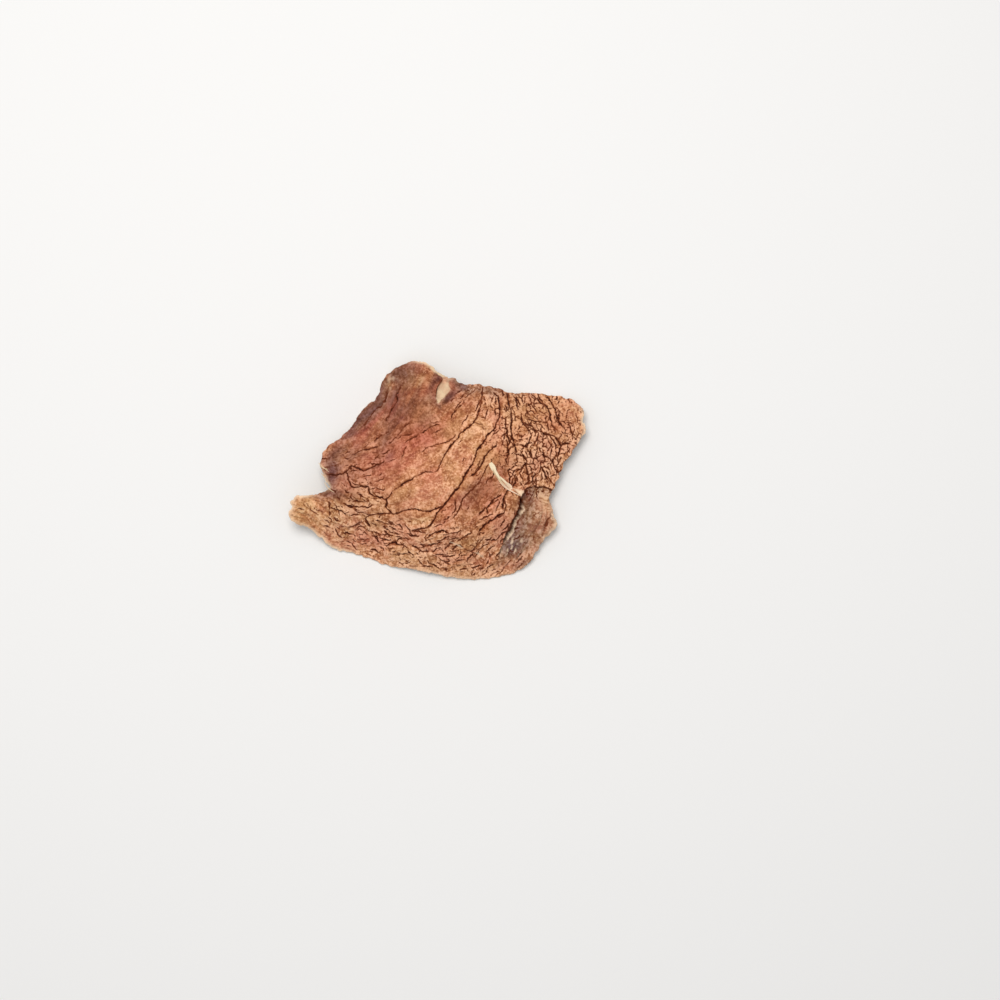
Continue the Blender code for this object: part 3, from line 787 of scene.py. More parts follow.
flap = shape_mask(OVERHANG + FLAP_FOOT + FLAP_TOP[::-1], 0.10)
gap = shape_mask(OVERHANG + TORN_EDGE[::-1], 0.10)
above_foot = smooth_step(MAP_Y, -22.0, -18.5)
from_overhang, _ = line_distance(OVERHANG, 3.0)
from_torn, _ = line_distance(TORN_EDGE, 2.0)
from_flap_top, _ = line_distance(FLAP_TOP, 2.0)
ragged = smooth_step(patches(71, 0.7), -1.4, -0.2)
torn = np.exp(-((from_torn / TORN_WIDTH) ** 2)) * (0.35 + 0.65 * ragged)
torn *= above_foot * smooth_step(-MAP_Y, 8.0, 9.2)
relief += above_foot * (
    LIP_HEIGHT * np.exp(-((from_overhang / LIP_REACH) ** 2)) * (1.0 - flap)
    - FLAP_STEP * flap
    - GAP_DEPTH * gap
)
relief += TORN_HEIGHT * torn * flap + 0.12 * flap * streaks(72, 0.8, 3.0)
# Painted shadow in the gap under the overhanging edge of the skin, in a line along that edge and over the gap's
# floor.
gap_shadow = np.exp(-((from_overhang / GAP_SHADOW_WIDTH) ** 2)) + 0.8 * np.exp(-((from_torn / (1.7 * GAP_SHADOW_WIDTH)) ** 2)) * gap
dark_lines_and_shade = np.maximum(dark_lines_and_shade, above_foot * (0.35 * gap + gap_shadow).clip(0.0, 1.0) * (1.0 - torn))
# Painted shade along the flap's top edge, where the skin above steps down onto it.
dark_lines_and_shade = np.maximum(dark_lines_and_shade, 0.85 * np.exp(-((from_flap_top / 0.18) ** 2)))

# The dark line inside the flap's outer edge, and the pale edge where the skin broke by the strand
FLAP_LINE = ((27.6, -10.2), (27.6, -11.3), (27.0, -12.3), (26.5, -13.2), (25.9, -14.8))
BROKEN_EDGE = ((18.2, -4.7), (20.8, -5.2), (20.3, -6.5), (19.4, -5.8))
from_flap_line, _ = line_distance(FLAP_LINE, 1.5)
flap_line = np.exp(-((from_flap_line / 0.15) ** 2))
dark_lines_and_shade = np.maximum(dark_lines_and_shade, 0.60 * flap_line)
relief -= 0.20 * flap_line
broken_edge = shape_mask(BROKEN_EDGE, 0.08)
relief += 0.12 * broken_edge
dark_lines_and_shade *= 1.0 - 0.8 * broken_edge

# The bare wedge at the top margin, where the skin has come away from the pale flesh
WEDGE = (
    (0.1, 16.1), (-0.15, 16.9), (-0.05, 18.1), (0.2, 19.5), (0.6, 21.2), (1.0, 22.1), (0.8, 22.9),
    (-0.3, 23.6), (-1.7, 24.8), (-1.2, 25.7), (0.1, 24.5), (2.5, 23.2), (3.3, 22.7), (2.6, 21.9),
    (2.5, 21.1), (3.15, 20.2), (2.9, 19.4), (2.2, 18.4), (1.5, 17.2),
)  # fmt: skip
WEDGE_DEPTH = 0.40
WEDGE_LIP = 0.16

wedge = shape_mask(WEDGE, 0.06)
from_wedge, _ = line_distance(WEDGE[1:8], 1.5)
wedge_floor = 0.06 * patches(75, 0.9) + 0.05 * patches(76, 0.5) - WEDGE_DEPTH
relief += wedge * (wedge_floor - relief)
relief += WEDGE_LIP * np.exp(-((from_wedge / 0.5) ** 2)) * (1.0 - wedge)
# A painted shadow line along the wedge's left edge, where the skin's lip overhangs the bare flesh.
wedge_shadow_line = np.exp(-((from_wedge / 0.26) ** 2)) * smooth_step(MAP_Y, 16.0, 19.5)
dark_lines_and_shade = np.maximum(dark_lines_and_shade * (1.0 - wedge), wedge_shadow_line * (1.0 - 0.9 * wedge))
bare = wedge * (0.84 + 0.12 * patches(77, 1.0)).clip(0.5, 1.0)
bare *= 1.0 - 0.62 * smooth_step(MAP_Y, 20.9, 21.8) * smooth_step(-MAP_Y, -23.0, -22.6)

# Washes of colour over the skin, two of which also hold painted shade. Each spot has its middle, how far it reaches
# along and across, its direction in degrees, and its strength
WASHES = dict(
    # Stains, and painted shade along the lower side of the long ridge and over the slope below it.
    brown_stain_and_shade=(
        ((26.0, 13.5), (11.0, 5.0), -15, 0.50),
        ((30.3, 12.0), (4.5, 2.6), 60, 0.80),
        ((18.9, 7.5), (7.0, 1.6), 78, 0.70),
        ((13.8, 2.4), (5.5, 1.8), 66, 0.90),
        ((8.2, -0.5), (13.0, 1.3), 58, 0.75),
        ((10.8, -5.3), (4.5, 2.2), 52, 0.80),
        ((-3.0, -10.0), (9.0, 1.0), 8, 0.60),
        ((6.4, -18.9), (3.6, 2.2), 35, 1.00),
        ((-32.5, -9.0), (4.5, 3.0), -30, 0.30),
        ((11.2, -14.4), (3.4, 1.8), 42, 0.90),
        ((14.6, 3.4), (4.2, 2.6), 66, 1.00),
        ((9.4, -1.2), (3.8, 2.2), 60, 0.75),
        ((18.0, 17.0), (4.5, 1.8), -5, 0.45),
        ((-1.5, -10.2), (10.0, 1.6), 5, 0.40),
        ((-11.5, -5.6), (3.0, 1.6), 20, 0.45),
        ((-6.0, 19.0), (8.0, 5.0), 60, 0.65),
        ((-4.5, 12.8), (6.0, 3.0), 55, 0.65),
        ((5.0, 13.0), (8.0, 3.0), 55, 0.45),
        ((15.8, 16.8), (4.0, 1.7), 80, 0.70),
        ((20.0, 1.0), (5.0, 2.0), -60, 0.35),
        ((-20.5, -5.8), (5.0, 1.8), -8, 0.65),
        ((-10.5, -10.0), (3.5, 2.0), -20, 0.45),
        ((20.0, -9.5), (2.6, 1.4), 65, 0.60),
    ),
    red=(
        ((-10.0, 12.0), (17.0, 9.0), 50, 0.95),
        ((-17.0, 10.3), (7.0, 1.8), 42, 1.00),
        ((-0.2, 19.0), (6.0, 2.2), 80, 1.00),
        ((3.2, 17.8), (4.0, 1.6), 60, 0.95),
        ((-20.5, 2.0), (10.0, 7.0), 30, 0.90),
        ((-10.5, 0.0), (5.5, 3.0), 40, 0.75),
        ((6.0, 17.5), (7.0, 3.0), -30, 0.60),
        ((-3.0, 8.0), (7.0, 4.5), 45, 0.85),
        ((12.5, -5.0), (8.0, 3.6), 55, 0.75),
        ((16.5, -13.0), (5.0, 2.0), 60, 0.60),
        ((18.0, -2.5), (3.0, 2.0), -45, 0.40),
    ),
    rose=(
        ((-15.4, 12.4), (7.0, 1.5), 48, 0.75),
        ((-19.8, 8.0), (4.0, 2.5), 40, 0.25),
        ((-4.5, 7.5), (7.0, 3.5), 45, 0.60),
        ((-12.0, 3.0), (6.0, 3.0), 30, 0.45),
        ((-2.0, -1.0), (5.0, 2.0), 30, 0.35),
        ((-16.0, -17.0), (6.0, 2.0), -15, 0.40),
        ((2.5, -11.0), (3.5, 2.0), 50, 0.45),
        ((13.0, -8.5), (5.0, 2.5), 55, 0.50),
        ((8.0, -22.0), (7.0, 2.0), 5, 0.40),
        ((27.5, 11.5), (3.0, 1.5), -40, 0.35),
    ),
    mauve=(
        ((-14.6, 15.0), (8.0, 1.8), 50, 0.90),
        ((-20.8, 8.6), (3.5, 1.6), 45, 0.70),
        ((-8.0, 22.2), (3.6, 2.2), 20, 0.70),
        ((0.0, 17.0), (4.6, 1.8), 10, 0.75),
        ((-2.5, 12.3), (3.0, 2.0), 50, 0.55),
        ((10.5, 19.3), (4.5, 0.9), -15, 0.70),
        ((6.6, 20.0), (2.4, 1.4), -20, 0.80),
        ((-25.5, -1.5), (4.0, 2.0), 80, 0.50),
        ((18.6, -16.5), (4.5, 1.6), 65, 0.70),
    ),
    # Dark purple-grey stains, and painted shade where the upper left margin turns down away from the light, over the
    # slope below the ridge and on the right tip.
    dusky_stain_and_shade=(
        ((31.0, 11.5), (4.5, 3.5), 60, 0.11),
        ((-18.8, 13.2), (9.0, 1.7), 49, 1.00),
        ((-14.8, 19.0), (5.5, 1.8), 65, 1.00),
        ((-16.4, 14.2), (6.5, 0.7), 46, 0.90),
        ((0.2, 22.3), (1.6, 0.8), 70, 1.00),
        ((-9.2, 14.2), (3.5, 1.0), 35, 0.60),
        ((-6.2, 16.5), (3.5, 0.9), 60, 0.45),
        ((-11.2, 17.2), (4.0, 1.6), 68, 0.60),
        ((-9.6, 24.4), (5.2, 2.4), 25, 0.80),
        ((-12.2, 8.0), (10.0, 1.7), 72, 0.55),
        ((-7.5, 13.5), (5.0, 1.8), 50, 0.45),
        ((-25.2, 4.0), (5.0, 2.2), 55, 0.80),
        ((-25.8, -0.8), (5.0, 2.6), 80, 0.95),
        ((5.3, 21.2), (3.2, 1.3), -35, 0.85),
        ((-0.9, 21.4), (2.8, 0.8), 70, 0.75),
        ((2.9, 17.8), (2.4, 0.9), 58, 0.85),
        ((0.6, 15.2), (0.9, 0.5), -50, 0.75),
        ((14.0, 20.0), (9.0, 1.0), -6, 0.50),
        ((18.4, -19.2), (3.4, 2.2), 40, 1.00),
        ((21.0, -22.3), (2.6, 1.0), 35, 0.70),
        ((21.3, -6.2), (2.6, 0.8), 42, 0.90),
        ((20.6, -8.2), (1.4, 0.6), 80, 0.90),
        ((-26.0, -5.6), (4.5, 1.3), 0, 0.80),
        ((-11.4, 3.4), (2.2, 1.2), 60, 0.60),
        ((-20.5, 3.8), (3.2, 2.0), 40, 0.45),
        ((-21.0, -1.0), (5.0, 2.2), 0, 0.30),
        ((-20.5, -5.6), (4.0, 1.6), -10, 0.40),
        ((9.0, -5.5), (5.0, 2.0), 50, 0.42),
        ((20.5, -9.5), (5.0, 2.5), 62, 0.35),
    ),
    tan=(
        ((-33.0, -9.5), (6.0, 3.6), -30, 1.00),
        ((-11.5, 22.0), (1.8, 1.0), 70, 0.90),
        ((26.3, -8.5), (2.8, 1.6), -70, 0.90),
        ((19.0, -7.5), (2.6, 1.6), 70, 0.60),
        ((-4.2, -12.0), (4.5, 1.0), 8, 0.80),
        ((5.0, -17.5), (6.0, 2.0), 15, 0.60),
        ((-15.0, -7.5), (3.0, 1.5), -10, 0.40),
        ((-24.0, -13.0), (7.0, 3.5), -35, 0.70),
        ((24.0, 16.0), (2.4, 1.4), -40, 0.50),
        ((33.5, 15.0), (1.8, 1.2), -30, 0.60),
        ((16.0, -4.5), (2.5, 1.5), -40, 0.50),
        ((8.2, -21.8), (2.6, 0.9), 8, 1.00),
        ((-4.1, 21.4), (2.4, 1.4), 60, 0.80),
    ),
    bright=(
        ((-3.0, -4.8), (6.0, 2.8), 25, 0.30),
        ((6.0, 5.5), (10.0, 2.3), 55, 0.35),
        ((20.5, 3.5), (3.0, 2.0), 70, 0.60),
        ((24.5, -1.5), (3.0, 2.2), 60, 0.70),
        ((24.5, -14.0), (3.0, 1.5), 60, 0.70),
        ((-3.0, -22.5), (22.0, 2.5), -8, 0.50),
        ((-22.0, -12.5), (8.0, 3.0), -30, 0.50),
        ((-33.5, -8.0), (2.5, 1.6), 40, 1.00),
        ((15.6, 8.4), (3.0, 1.4), 75, 0.90),
        ((0.0, -19.2), (5.0, 1.8), -5, 0.80),
        ((15.6, -19.2), (2.2, 1.8), 40, 0.90),
        ((11.0, -9.8), (2.6, 1.4), 50, 1.00),
    ),
)


def wash(spots, seed):
    """A map of one wash, with streaky edges."""
    total = np.zeros(MAP_X.shape)
    wander = 0.8 * streaks(seed, 1.2, 3.0)
    for (x, y), (along, across), degrees, strength in spots:
        turn = math.radians(degrees)
        dx, dy = MAP_X - x, MAP_Y - y
        u = (dx * math.cos(turn) + dy * math.sin(turn)) / along
        v = (dy * math.cos(turn) - dx * math.sin(turn)) / across
        total = np.maximum(total, strength * np.exp(-(u * u + v * v) * np.exp(wander * 0.5)))
    return total.clip(0.0, 1.0)


washes = {name: wash(spots, 80 + number) for number, (name, spots) in enumerate(WASHES.items())}
washes["grey"] = np.maximum(flap, gap) * above_foot * (1.0 - 0.8 * washes["tan"])

# Where the margin's pale flesh shows at its edge, and how far in
PALE_EDGES = (
    ((-3.0, 25.8), (5.0, 1.5), -30, 0.9),
    ((35.5, 11.5), (4.0, 1.5), 90, 1.0),
    ((-26.0, -17.5), (7.0, 2.5), -35, 1.0),
    ((-34.5, -9.0), (5.0, 5.0), 0, 0.9),
    ((-33.0, -6.5), (2.5, 1.5), 20, 1.0),
    ((3.0, -25.5), (18.0, 2.0), -5, 0.5),
    ((27.5, -13.0), (4.0, 3.0), 60, 0.7),
    ((-26.8, -2.8), (3.4, 1.2), -65, 0.8),
    ((-24.0, -19.0), (9.0, 1.5), -28, 0.8),
)
pale = wash(PALE_EDGES, 90) * np.exp(-((from_margin.clip(0.0, None) / 0.5) ** 2))
pale = np.maximum(pale, torn)
pale = np.maximum(pale, 0.8 * broken_edge)

# A fine scratch low on the right, pale with a dark stretch in its middle
SCRATCH = ((3.3, -17.0), (5.4, -18.2), (7.6, -19.4), (9.4, -19.9), (11.2, -20.9))
from_scratch, _ = line_distance(SCRATCH, 1.0)
scratch = np.exp(-((from_scratch / 0.13) ** 2))
dark_part = smooth_step(MAP_X, 5.8, 6.6) * smooth_step(-MAP_X, -9.4, -8.6)
pale = np.maximum(pale, 0.65 * scratch * (1.0 - dark_part))
dark_lines_and_shade = np.maximum(dark_lines_and_shade, 0.75 * scratch * dark_part)

# Whitish flecks in the stains beside the wedge and at the flap's foot
FLECKS = (
    ((5.6, 21.6), (1.4, 0.7), 30, 1.0),
    ((18.4, -19.2), (2.8, 2.0), 40, 1.0),
    ((-11.4, 21.8), (2.0, 1.0), 70, 0.4),
)
flecks = wash(FLECKS, 91) * smooth_step(streaks(92, 0.45, 0.5), 0.6, 1.2)
pale = np.maximum(pale, 0.85 * flecks)

# The scab of dried fibres on the upper left margin
SCAB = (((-11.2, 22.8), (2.6, 1.7), 70, 1.0),)
scab = wash(SCAB, 95)
relief += scab * (0.16 * patches(96, 0.8) + 0.10 * streaks(97, 0.5, 1.5))

relief *= 0.35 + 0.65 * smooth_step(from_margin, 0.2, 1.6)

# The lower margin is smoother, and its creases fade out before they reach it
low_margin = smooth_step(-MAP_Y, 14.0, 19.0) * (1.0 - smooth_step(from_margin, 0.4, 1.8))
relief *= 1.0 - 0.6 * low_margin
dark_lines_and_shade *= 1.0 - 0.75 * low_margin

# The thin skin's turned edge, and the flesh below it
EDGE_THICKNESS = 0.75
EDGE_ROUND = 0.34
MIDDLE_THICKNESS = 2.2
RIM_RINGS = ((0.30, 0.22), (0.0, 0.5), (0.22, 0.8))
FINE_SPACING = 0.145
UNDER_SPACING = 0.72


def lattice(spacing, fine=None):
    """Places on a lattice of equal triangles inside the margin. With fine, a map, only every
    second place is kept where the map is low."""
    rows = np.arange(int((map_up[-1] - map_up[0]) / (spacing * math.sqrt(0.75))))
    columns = np.arange(int((map_across[-1] - map_across[0]) / spacing))
    row, column = (values.ravel() for values in np.meshgrid(rows, columns, indexing="ij"))
    x = map_across[0] + (column + 0.5 * (row % 2)) * spacing
    y = map_up[0] + row * spacing * math.sqrt(0.75)
    keep = read_map(from_margin, x, y) > EDGE_ROUND + 0.6 * spacing
    if fine is not None:
        sparse = (row % 2 == 0) & ((column + row // 2) % 2 == 0)
        keep &= sparse | (read_map(fine, x, y) > 0.5)
    return np.stack([x[keep], y[keep]], axis=1)


def fill_loop(loop, places):
    """Triangles over the inside of a loop, through the places. The loop's points come first."""
    points = [Vector(point) for point in np.vstack([loop, places])]
    count = len(loop)
    edges = [(number, (number + 1) % count) for number in range(count)]
    found, _, faces, *_ = delaunay_2d_cdt(points, edges, [], 0, 1e-6, False)
    found, faces = np.array(found), np.array(faces)
    on_loop = (faces < count).all(axis=1)
    middle = found[faces[on_loop]].mean(axis=1)
    outside = np.zeros(len(faces), bool)
    outside[on_loop] = ~inside(loop, *middle.T)
    return found, faces[~outside]


fine_where = smooth_step(blurred(dark_lines_and_shade, 0.35), 0.07, 0.17)
slope_y, slope_x = np.gradient(blurred(form, 0.6), MAP_STEP)


def on_skin(places, lift):
    """Points on the cap's form, lifted straight out of it."""
    x, y = places.T
    lean_x, lean_y = read_map(slope_x, x, y), read_map(slope_y, x, y)
    steep = np.sqrt(1.0 + lean_x**2 + lean_y**2)
    z = read_map(form, x, y)
    return np.stack([x - lean_x / steep * lift, y - lean_y / steep * lift, z + lift / steep], axis=1)


thickness = EDGE_THICKNESS + (MIDDLE_THICKNESS - EDGE_THICKNESS) * smooth_step(from_margin, 0.0, 16.0)
soft_relief = blurred(relief, 0.8)


def tube(route, reference, sideways, upward):
    """Rings of points round a route: by how much each point stands off sideways and upward. The
    reference is a direction that the route never takes."""
    along = np.gradient(route, axis=0)
    along /= np.linalg.norm(along, axis=1)[:, None]
    side = np.cross(along, np.array(reference, float))
    side /= np.linalg.norm(side, axis=1)[:, None]
    up = np.cross(side, along)
    turns = np.arange(sideways.shape[1]) / sideways.shape[1] * math.tau
    across = (sideways * np.cos(turns))[..., None] * side[:, None, :]
    rise = (upward * np.sin(turns))[..., None] * up[:, None, :]
    return route[:, None, :] + across + rise


def tube_faces(rings, around, first=0):
    """The faces of a closed tube whose points run ring by ring."""
    faces = [tuple(first + turn for turn in range(around))]
    for ring in range(rings - 1):
        start = first + ring * around
        for turn in range(around):
            after = (turn + 1) % around
            faces.append((start + after, start + turn, start + turn + around, start + after + around))
    last = first + (rings - 1) * around
    faces.append(tuple(last + turn for turn in reversed(range(around))))
    return faces


# Fine torn hairs that stand out of the left margin
HAIRS = (
    ((-29.0, 1.9), (-27.9, 0.9), (-26.3, -0.3)),
    ((-28.7, 1.2), (-27.7, 0.6), (-26.6, 0.3)),
    ((-28.2, -0.6), (-27.3, -1.7), (-26.8, -3.0)),
    ((-27.3, -2.9), (-26.3, -4.3), (-24.8, -5.3)),
)
HAIR_RADIUS = 0.10
HAIR_AROUND = 6
HAIR_LIFT = 0.12


def grow_hairs():
    """The points of the hairs, their places on the map and their faces."""
    points, faces = [], []
    for hair in HAIRS:
        flat_route = rounded(hair, 0.15)
        height = read_map(form, *flat_route.T) + HAIR_LIFT
        height += 0.5 * smooth_step(np.linspace(1.0, 0.0, len(flat_route)), 0.5, 1.0)
        route = np.column_stack([flat_route, height.clip(0.3, None)])
        thin = HAIR_RADIUS * np.sin(np.linspace(0.25, math.pi - 0.25, len(route))) ** 0.6
        reach = np.repeat(thin[:, None], HAIR_AROUND, axis=1)
        faces += tube_faces(len(route), HAIR_AROUND, sum(len(group) for group in points))
        points.append(tube(route, (0.0, 0.0, 1.0), reach, reach).reshape(-1, 3))
    return np.vstack(points), faces


def new_mesh(name, points, faces):
    """A smooth mesh from points in millimetres."""
    mesh = bpy.data.meshes.new(name)
    mesh.from_pydata((points * MM).tolist(), [], faces)
    mesh.shade_smooth()
    return mesh


def build_cap():
    sideways = outward(margin)
    top_loop = margin - sideways * EDGE_ROUND
    top_flat, top_faces = fill_loop(top_loop, lattice(FINE_SPACING, fine_where))
    top = on_skin(top_flat, read_map(relief, *top_flat.T))
    count = len(margin)
    rings = [top[:count]]
    for inset, drop in RIM_RINGS:
        ring = margin - sideways * inset * EDGE_ROUND
        height = top[:count, 2] - drop * EDGE_THICKNESS
        rings.append(np.column_stack([ring, height]))
    under_loop = margin - sideways * EDGE_ROUND * 1.3
    under_flat, under_faces = fill_loop(under_loop, lattice(UNDER_SPACING))
    under = on_skin(under_flat, read_map(soft_relief - thickness, *under_flat.T))
    under[:count, 2] = top[:count, 2] - EDGE_THICKNESS
    points = np.vstack([top, *rings[1:], under])
    points[:, 2] = points[:, 2].clip(0.03, None)
    first_ring, first_under = len(top), len(top) + count * len(RIM_RINGS)
    starts = [0, *(first_ring + count * number for number in range(len(RIM_RINGS))), first_under]
    faces = [tuple(face) for face in top_faces.tolist()]
    for upper, lower in zip(starts[:-1], starts[1:]):
        for here in range(count):
            after = (here + 1) % count
            faces.append((upper + here, upper + after, lower + after, lower + here))
    faces += [tuple(first_under + corner for corner in reversed(face)) for face in under_faces.tolist()]
    hair_points, hair_faces = grow_hairs()
    faces += [tuple(corner + len(points) for corner in face) for face in hair_faces]
    flesh = np.zeros(len(points) + len(hair_points))
    flesh[first_ring + 2 * count :] = 1.0
    flat = np.vstack([top_flat, *(ring[:, :2] for ring in rings[1:]), under_flat, hair_points[:, :2]])
    mesh = new_mesh("cap_skin", np.vstack([points, hair_points]), faces)
    return mesh, flat, flesh


def paint(mesh, name, values):
    """Stores a value for each point of a mesh, for its material to read."""
    attribute = mesh.attributes.new(name, "FLOAT", "POINT")
    attribute.data.foreach_set("value", values.astype(np.float32))


cap_mesh, flat, flesh = build_cap()
bare_flat = read_map(bare, *flat.T)
paint(cap_mesh, "flesh", np.maximum(flesh, bare_flat))
paint(cap_mesh, "crease", read_map(dark_lines_and_shade, *flat.T))
# Painted light and shade: raised skin, the pale shoulders beside the creases and the fine bumps are painted lighter,
# sunken skin darker.
rise = 4.0 * (folds - blurred(folds, 0.7)) + 0.9 * painted_rim_highlights + 0.65 * mottle
paint(cap_mesh, "rise", read_map(rise, *flat.T))
paint(cap_mesh, "pale", read_map(pale, *flat.T))
for name, values in washes.items():
    paint(cap_mesh, name, read_map(values, *flat.T))


def new_group(name, inputs, outputs):
    """A shader node group with named inputs and outputs, and its two end nodes."""
    group = bpy.data.node_groups.new(name, "ShaderNodeTree")
    for label, kind, value in inputs:
        socket = group.interface.new_socket(label, in_out="INPUT", socket_type=kind)
        socket.default_value = value
    for label, kind in outputs:
        group.interface.new_socket(label, in_out="OUTPUT", socket_type=kind)
    return group, group.nodes.new("NodeGroupInput"), group.nodes.new("NodeGroupOutput")


def add(tree, kind, links, **settings):
    """A node with its settings, and its inputs linked or set by name or number."""
    node = tree.nodes.new(kind)
    for name, value in settings.items():
        setattr(node, name, value)
    for socket, value in links.items():
        if isinstance(value, bpy.types.NodeSocket):
            tree.links.new(value, node.inputs[socket])
        else:
            node.inputs[socket].default_value = value
    return node


def colour(red, green, blue):
    """A colour given as a screen shows it, 0 to 255, turned into linear light."""
    parts = []
    for value in (red, green, blue):
        value /= 255.0
        parts.append(value / 12.92 if value <= 0.04045 else ((value + 0.055) / 1.055) ** 2.4)
    return (*parts, 1.0)


def mixed(tree, first, second, amount, blend="MIX"):
    node = add(tree, "ShaderNodeMix", {}, data_type="RGBA", blend_type=blend)
    for socket, value in ((0, amount), (6, first), (7, second)):
        if isinstance(value, bpy.types.NodeSocket):
            tree.links.new(value, node.inputs[socket])
        else:
            node.inputs[socket].default_value = value
    return node.outputs[2]


def scaled(tree, value, from_low, from_high, to_low, to_high):
    node = add(
        tree,
        "ShaderNodeMapRange",
        {"Value": value, "From Min": from_low, "From Max": from_high, "To Min": to_low, "To Max": to_high},
        interpolation_type="SMOOTHSTEP",
    )
    return node.outputs[0]


def summed(tree, operation, first, second):
    return add(tree, "ShaderNodeMath", {0: first, 1: second}, operation=operation).outputs[0]


def grain_group():
    """Fine grain of dried fungus: specks and fibres, as a tone and a height, both about 0.5."""
    group, start, end = new_group(
        "dried_grain",
        [("Size", "NodeSocketFloat", 1.0), ("Vector", "NodeSocketVector", (0.0, 0.0, 0.0))],
        [("Tone", "NodeSocketFloat"), ("Height", "NodeSocketFloat")],
    )
    place = add(
        group,
        "ShaderNodeVectorMath",
        {0: start.outputs["Vector"], "Scale": start.outputs["Size"]},
        operation="SCALE",
    ).outputs[0]
    broad = add(group, "ShaderNodeTexNoise", {"Vector": place, "Scale": 700.0, "Detail": 4.0, "Roughness": 0.6})
    fine = add(group, "ShaderNodeTexNoise", {"Vector": place, "Scale": 2100.0, "Detail": 3.0, "Roughness": 0.6})
    tone = add(
        group,
        "ShaderNodeMix",
        {0: 0.65, 2: broad.outputs[0], 3: fine.outputs[0]},
        data_type="FLOAT",
    ).outputs[0]
    height = add(
        group,
        "ShaderNodeMix",
        {0: 0.6, 2: broad.outputs[0], 3: fine.outputs[0]},
        data_type="FLOAT",
    ).outputs[0]
    group.links.new(tone, end.inputs["Tone"])
    group.links.new(height, end.inputs["Height"])
    return group


grain = grain_group()


def placed(tree, group, **values):
    node = tree.nodes.new("ShaderNodeGroup")
    node.node_tree = group
    for name, value in values.items():
        if isinstance(value, bpy.types.NodeSocket):
            tree.links.new(value, node.inputs[name])
        else:
            node.inputs[name].default_value = value
    return node


SKIN_LIGHT = colour(248, 190, 150)
SKIN_MIDDLE = colour(200, 136, 92)
SKIN_DARK = colour(156, 92, 56)
SKIN_PINK = colour(206, 126, 104)
SKIN_TAN = colour(212, 162, 114)
CREASE_BROWN = colour(104, 42, 10)
CREASE_DARK = colour(54, 12, 0)
FLESH_PALE = colour(228, 198, 162)
EDGE_PALE = colour(252, 222, 188)

# What each wash multiplies the skin's colour by; two of the darkening washes also stand for painted shade
WASH_COLOURS = dict(
    brown_stain_and_shade=(0.72, 0.58, 0.46, 1.0),
    red=(0.66, 0.50, 0.50, 1.0),
    rose=(0.92, 0.56, 0.62, 1.0),
    mauve=(0.70, 0.82, 1.02, 1.0),
    dusky_stain_and_shade=(0.32, 0.28, 0.40, 1.0),
    tan=(0.96, 1.10, 1.05, 1.0),
    bright=(1.14, 1.22, 1.26, 1.0),
    grey=(0.72, 0.78, 0.86, 1.0),
)


def skin_material():
    material = bpy.data.materials.new("wrinkled_skin")
    material.use_nodes = True
    tree = material.node_tree
    shader = tree.nodes["Principled BSDF"]
    place = add(tree, "ShaderNodeTexCoord", {}).outputs["Object"]

    def painted(name):
        return add(tree, "ShaderNodeAttribute", {}, attribute_name=name).outputs["Fac"]

    fine = placed(tree, grain, Size=1.0, Vector=place)
    blotch = add(tree, "ShaderNodeTexNoise", {"Vector": place, "Scale": 260.0, "Detail": 5.0}).outputs[0]
    # The skin's tone takes the painted light and shade of its raised and sunken parts.
    tone = summed(tree, "ADD", blotch, summed(tree, "MULTIPLY", painted("rise"), 0.35))
    body = mixed(tree, SKIN_DARK, SKIN_MIDDLE, scaled(tree, tone, 0.25, 0.50, 0.0, 1.0))
    body = mixed(tree, body, SKIN_LIGHT, scaled(tree, tone, 0.48, 0.80, 0.0, 1.0))
    hue = add(tree, "ShaderNodeTexNoise", {"Vector": place, "Scale": 170.0, "Detail": 6.0, "W": 3.0},
              noise_dimensions="4D").outputs[0]
    body = mixed(tree, body, SKIN_PINK, scaled(tree, hue, 0.36, 0.52, 0.45, 0.0))
    body = mixed(tree, body, SKIN_TAN, scaled(tree, hue, 0.50, 0.66, 0.0, 0.45))
    body = mixed(tree, body, SKIN_DARK, scaled(tree, fine.outputs["Tone"], 0.36, 0.51, 0.75, 0.0))
    body = mixed(tree, body, SKIN_LIGHT, scaled(tree, fine.outputs["Tone"], 0.50, 0.63, 0.0, 0.70))
    for name, factor in WASH_COLOURS.items():
        body = mixed(tree, body, factor, painted(name), "MULTIPLY")
    # Dark red-brown creases, partly the skin's own colour and partly painted shade, with painted shadows in the
    # flap's gap and beside the wedge.
    crease = painted("crease")
    body = mixed(tree, body, CREASE_BROWN, scaled(tree, crease, 0.04, 0.45, 0.0, 0.92))
    body = mixed(tree, body, CREASE_DARK, scaled(tree, crease, 0.40, 0.95, 0.0, 0.97))
    body = mixed(tree, body, EDGE_PALE, painted("pale"))
    body = mixed(tree, body, FLESH_PALE, painted("flesh"))
    tree.links.new(body, shader.inputs["Base Color"])
    tree.links.new(scaled(tree, fine.outputs["Tone"], 0.3, 0.7, 0.62, 0.88), shader.inputs["Roughness"])
    bump = add(
        tree,
        "ShaderNodeBump",
        {"Strength": 0.5, "Distance": 0.12 * MM, "Height": fine.outputs["Height"]},
    )
    tree.links.new(bump.outputs[0], shader.inputs["Normal"])
    shader.inputs["Specular IOR Level"].default_value = 0.14
    return material


def show(name, mesh, material, node):
    """Puts a piece in the scene in place of its node."""
    mesh.materials.append(material)
    piece = bpy.data.objects.new(name, mesh)
    bpy.context.scene.collection.objects.link(piece)
    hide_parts(node)
    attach(piece, "root")


show("cap_skin", cap_mesh, skin_material(), "cap")


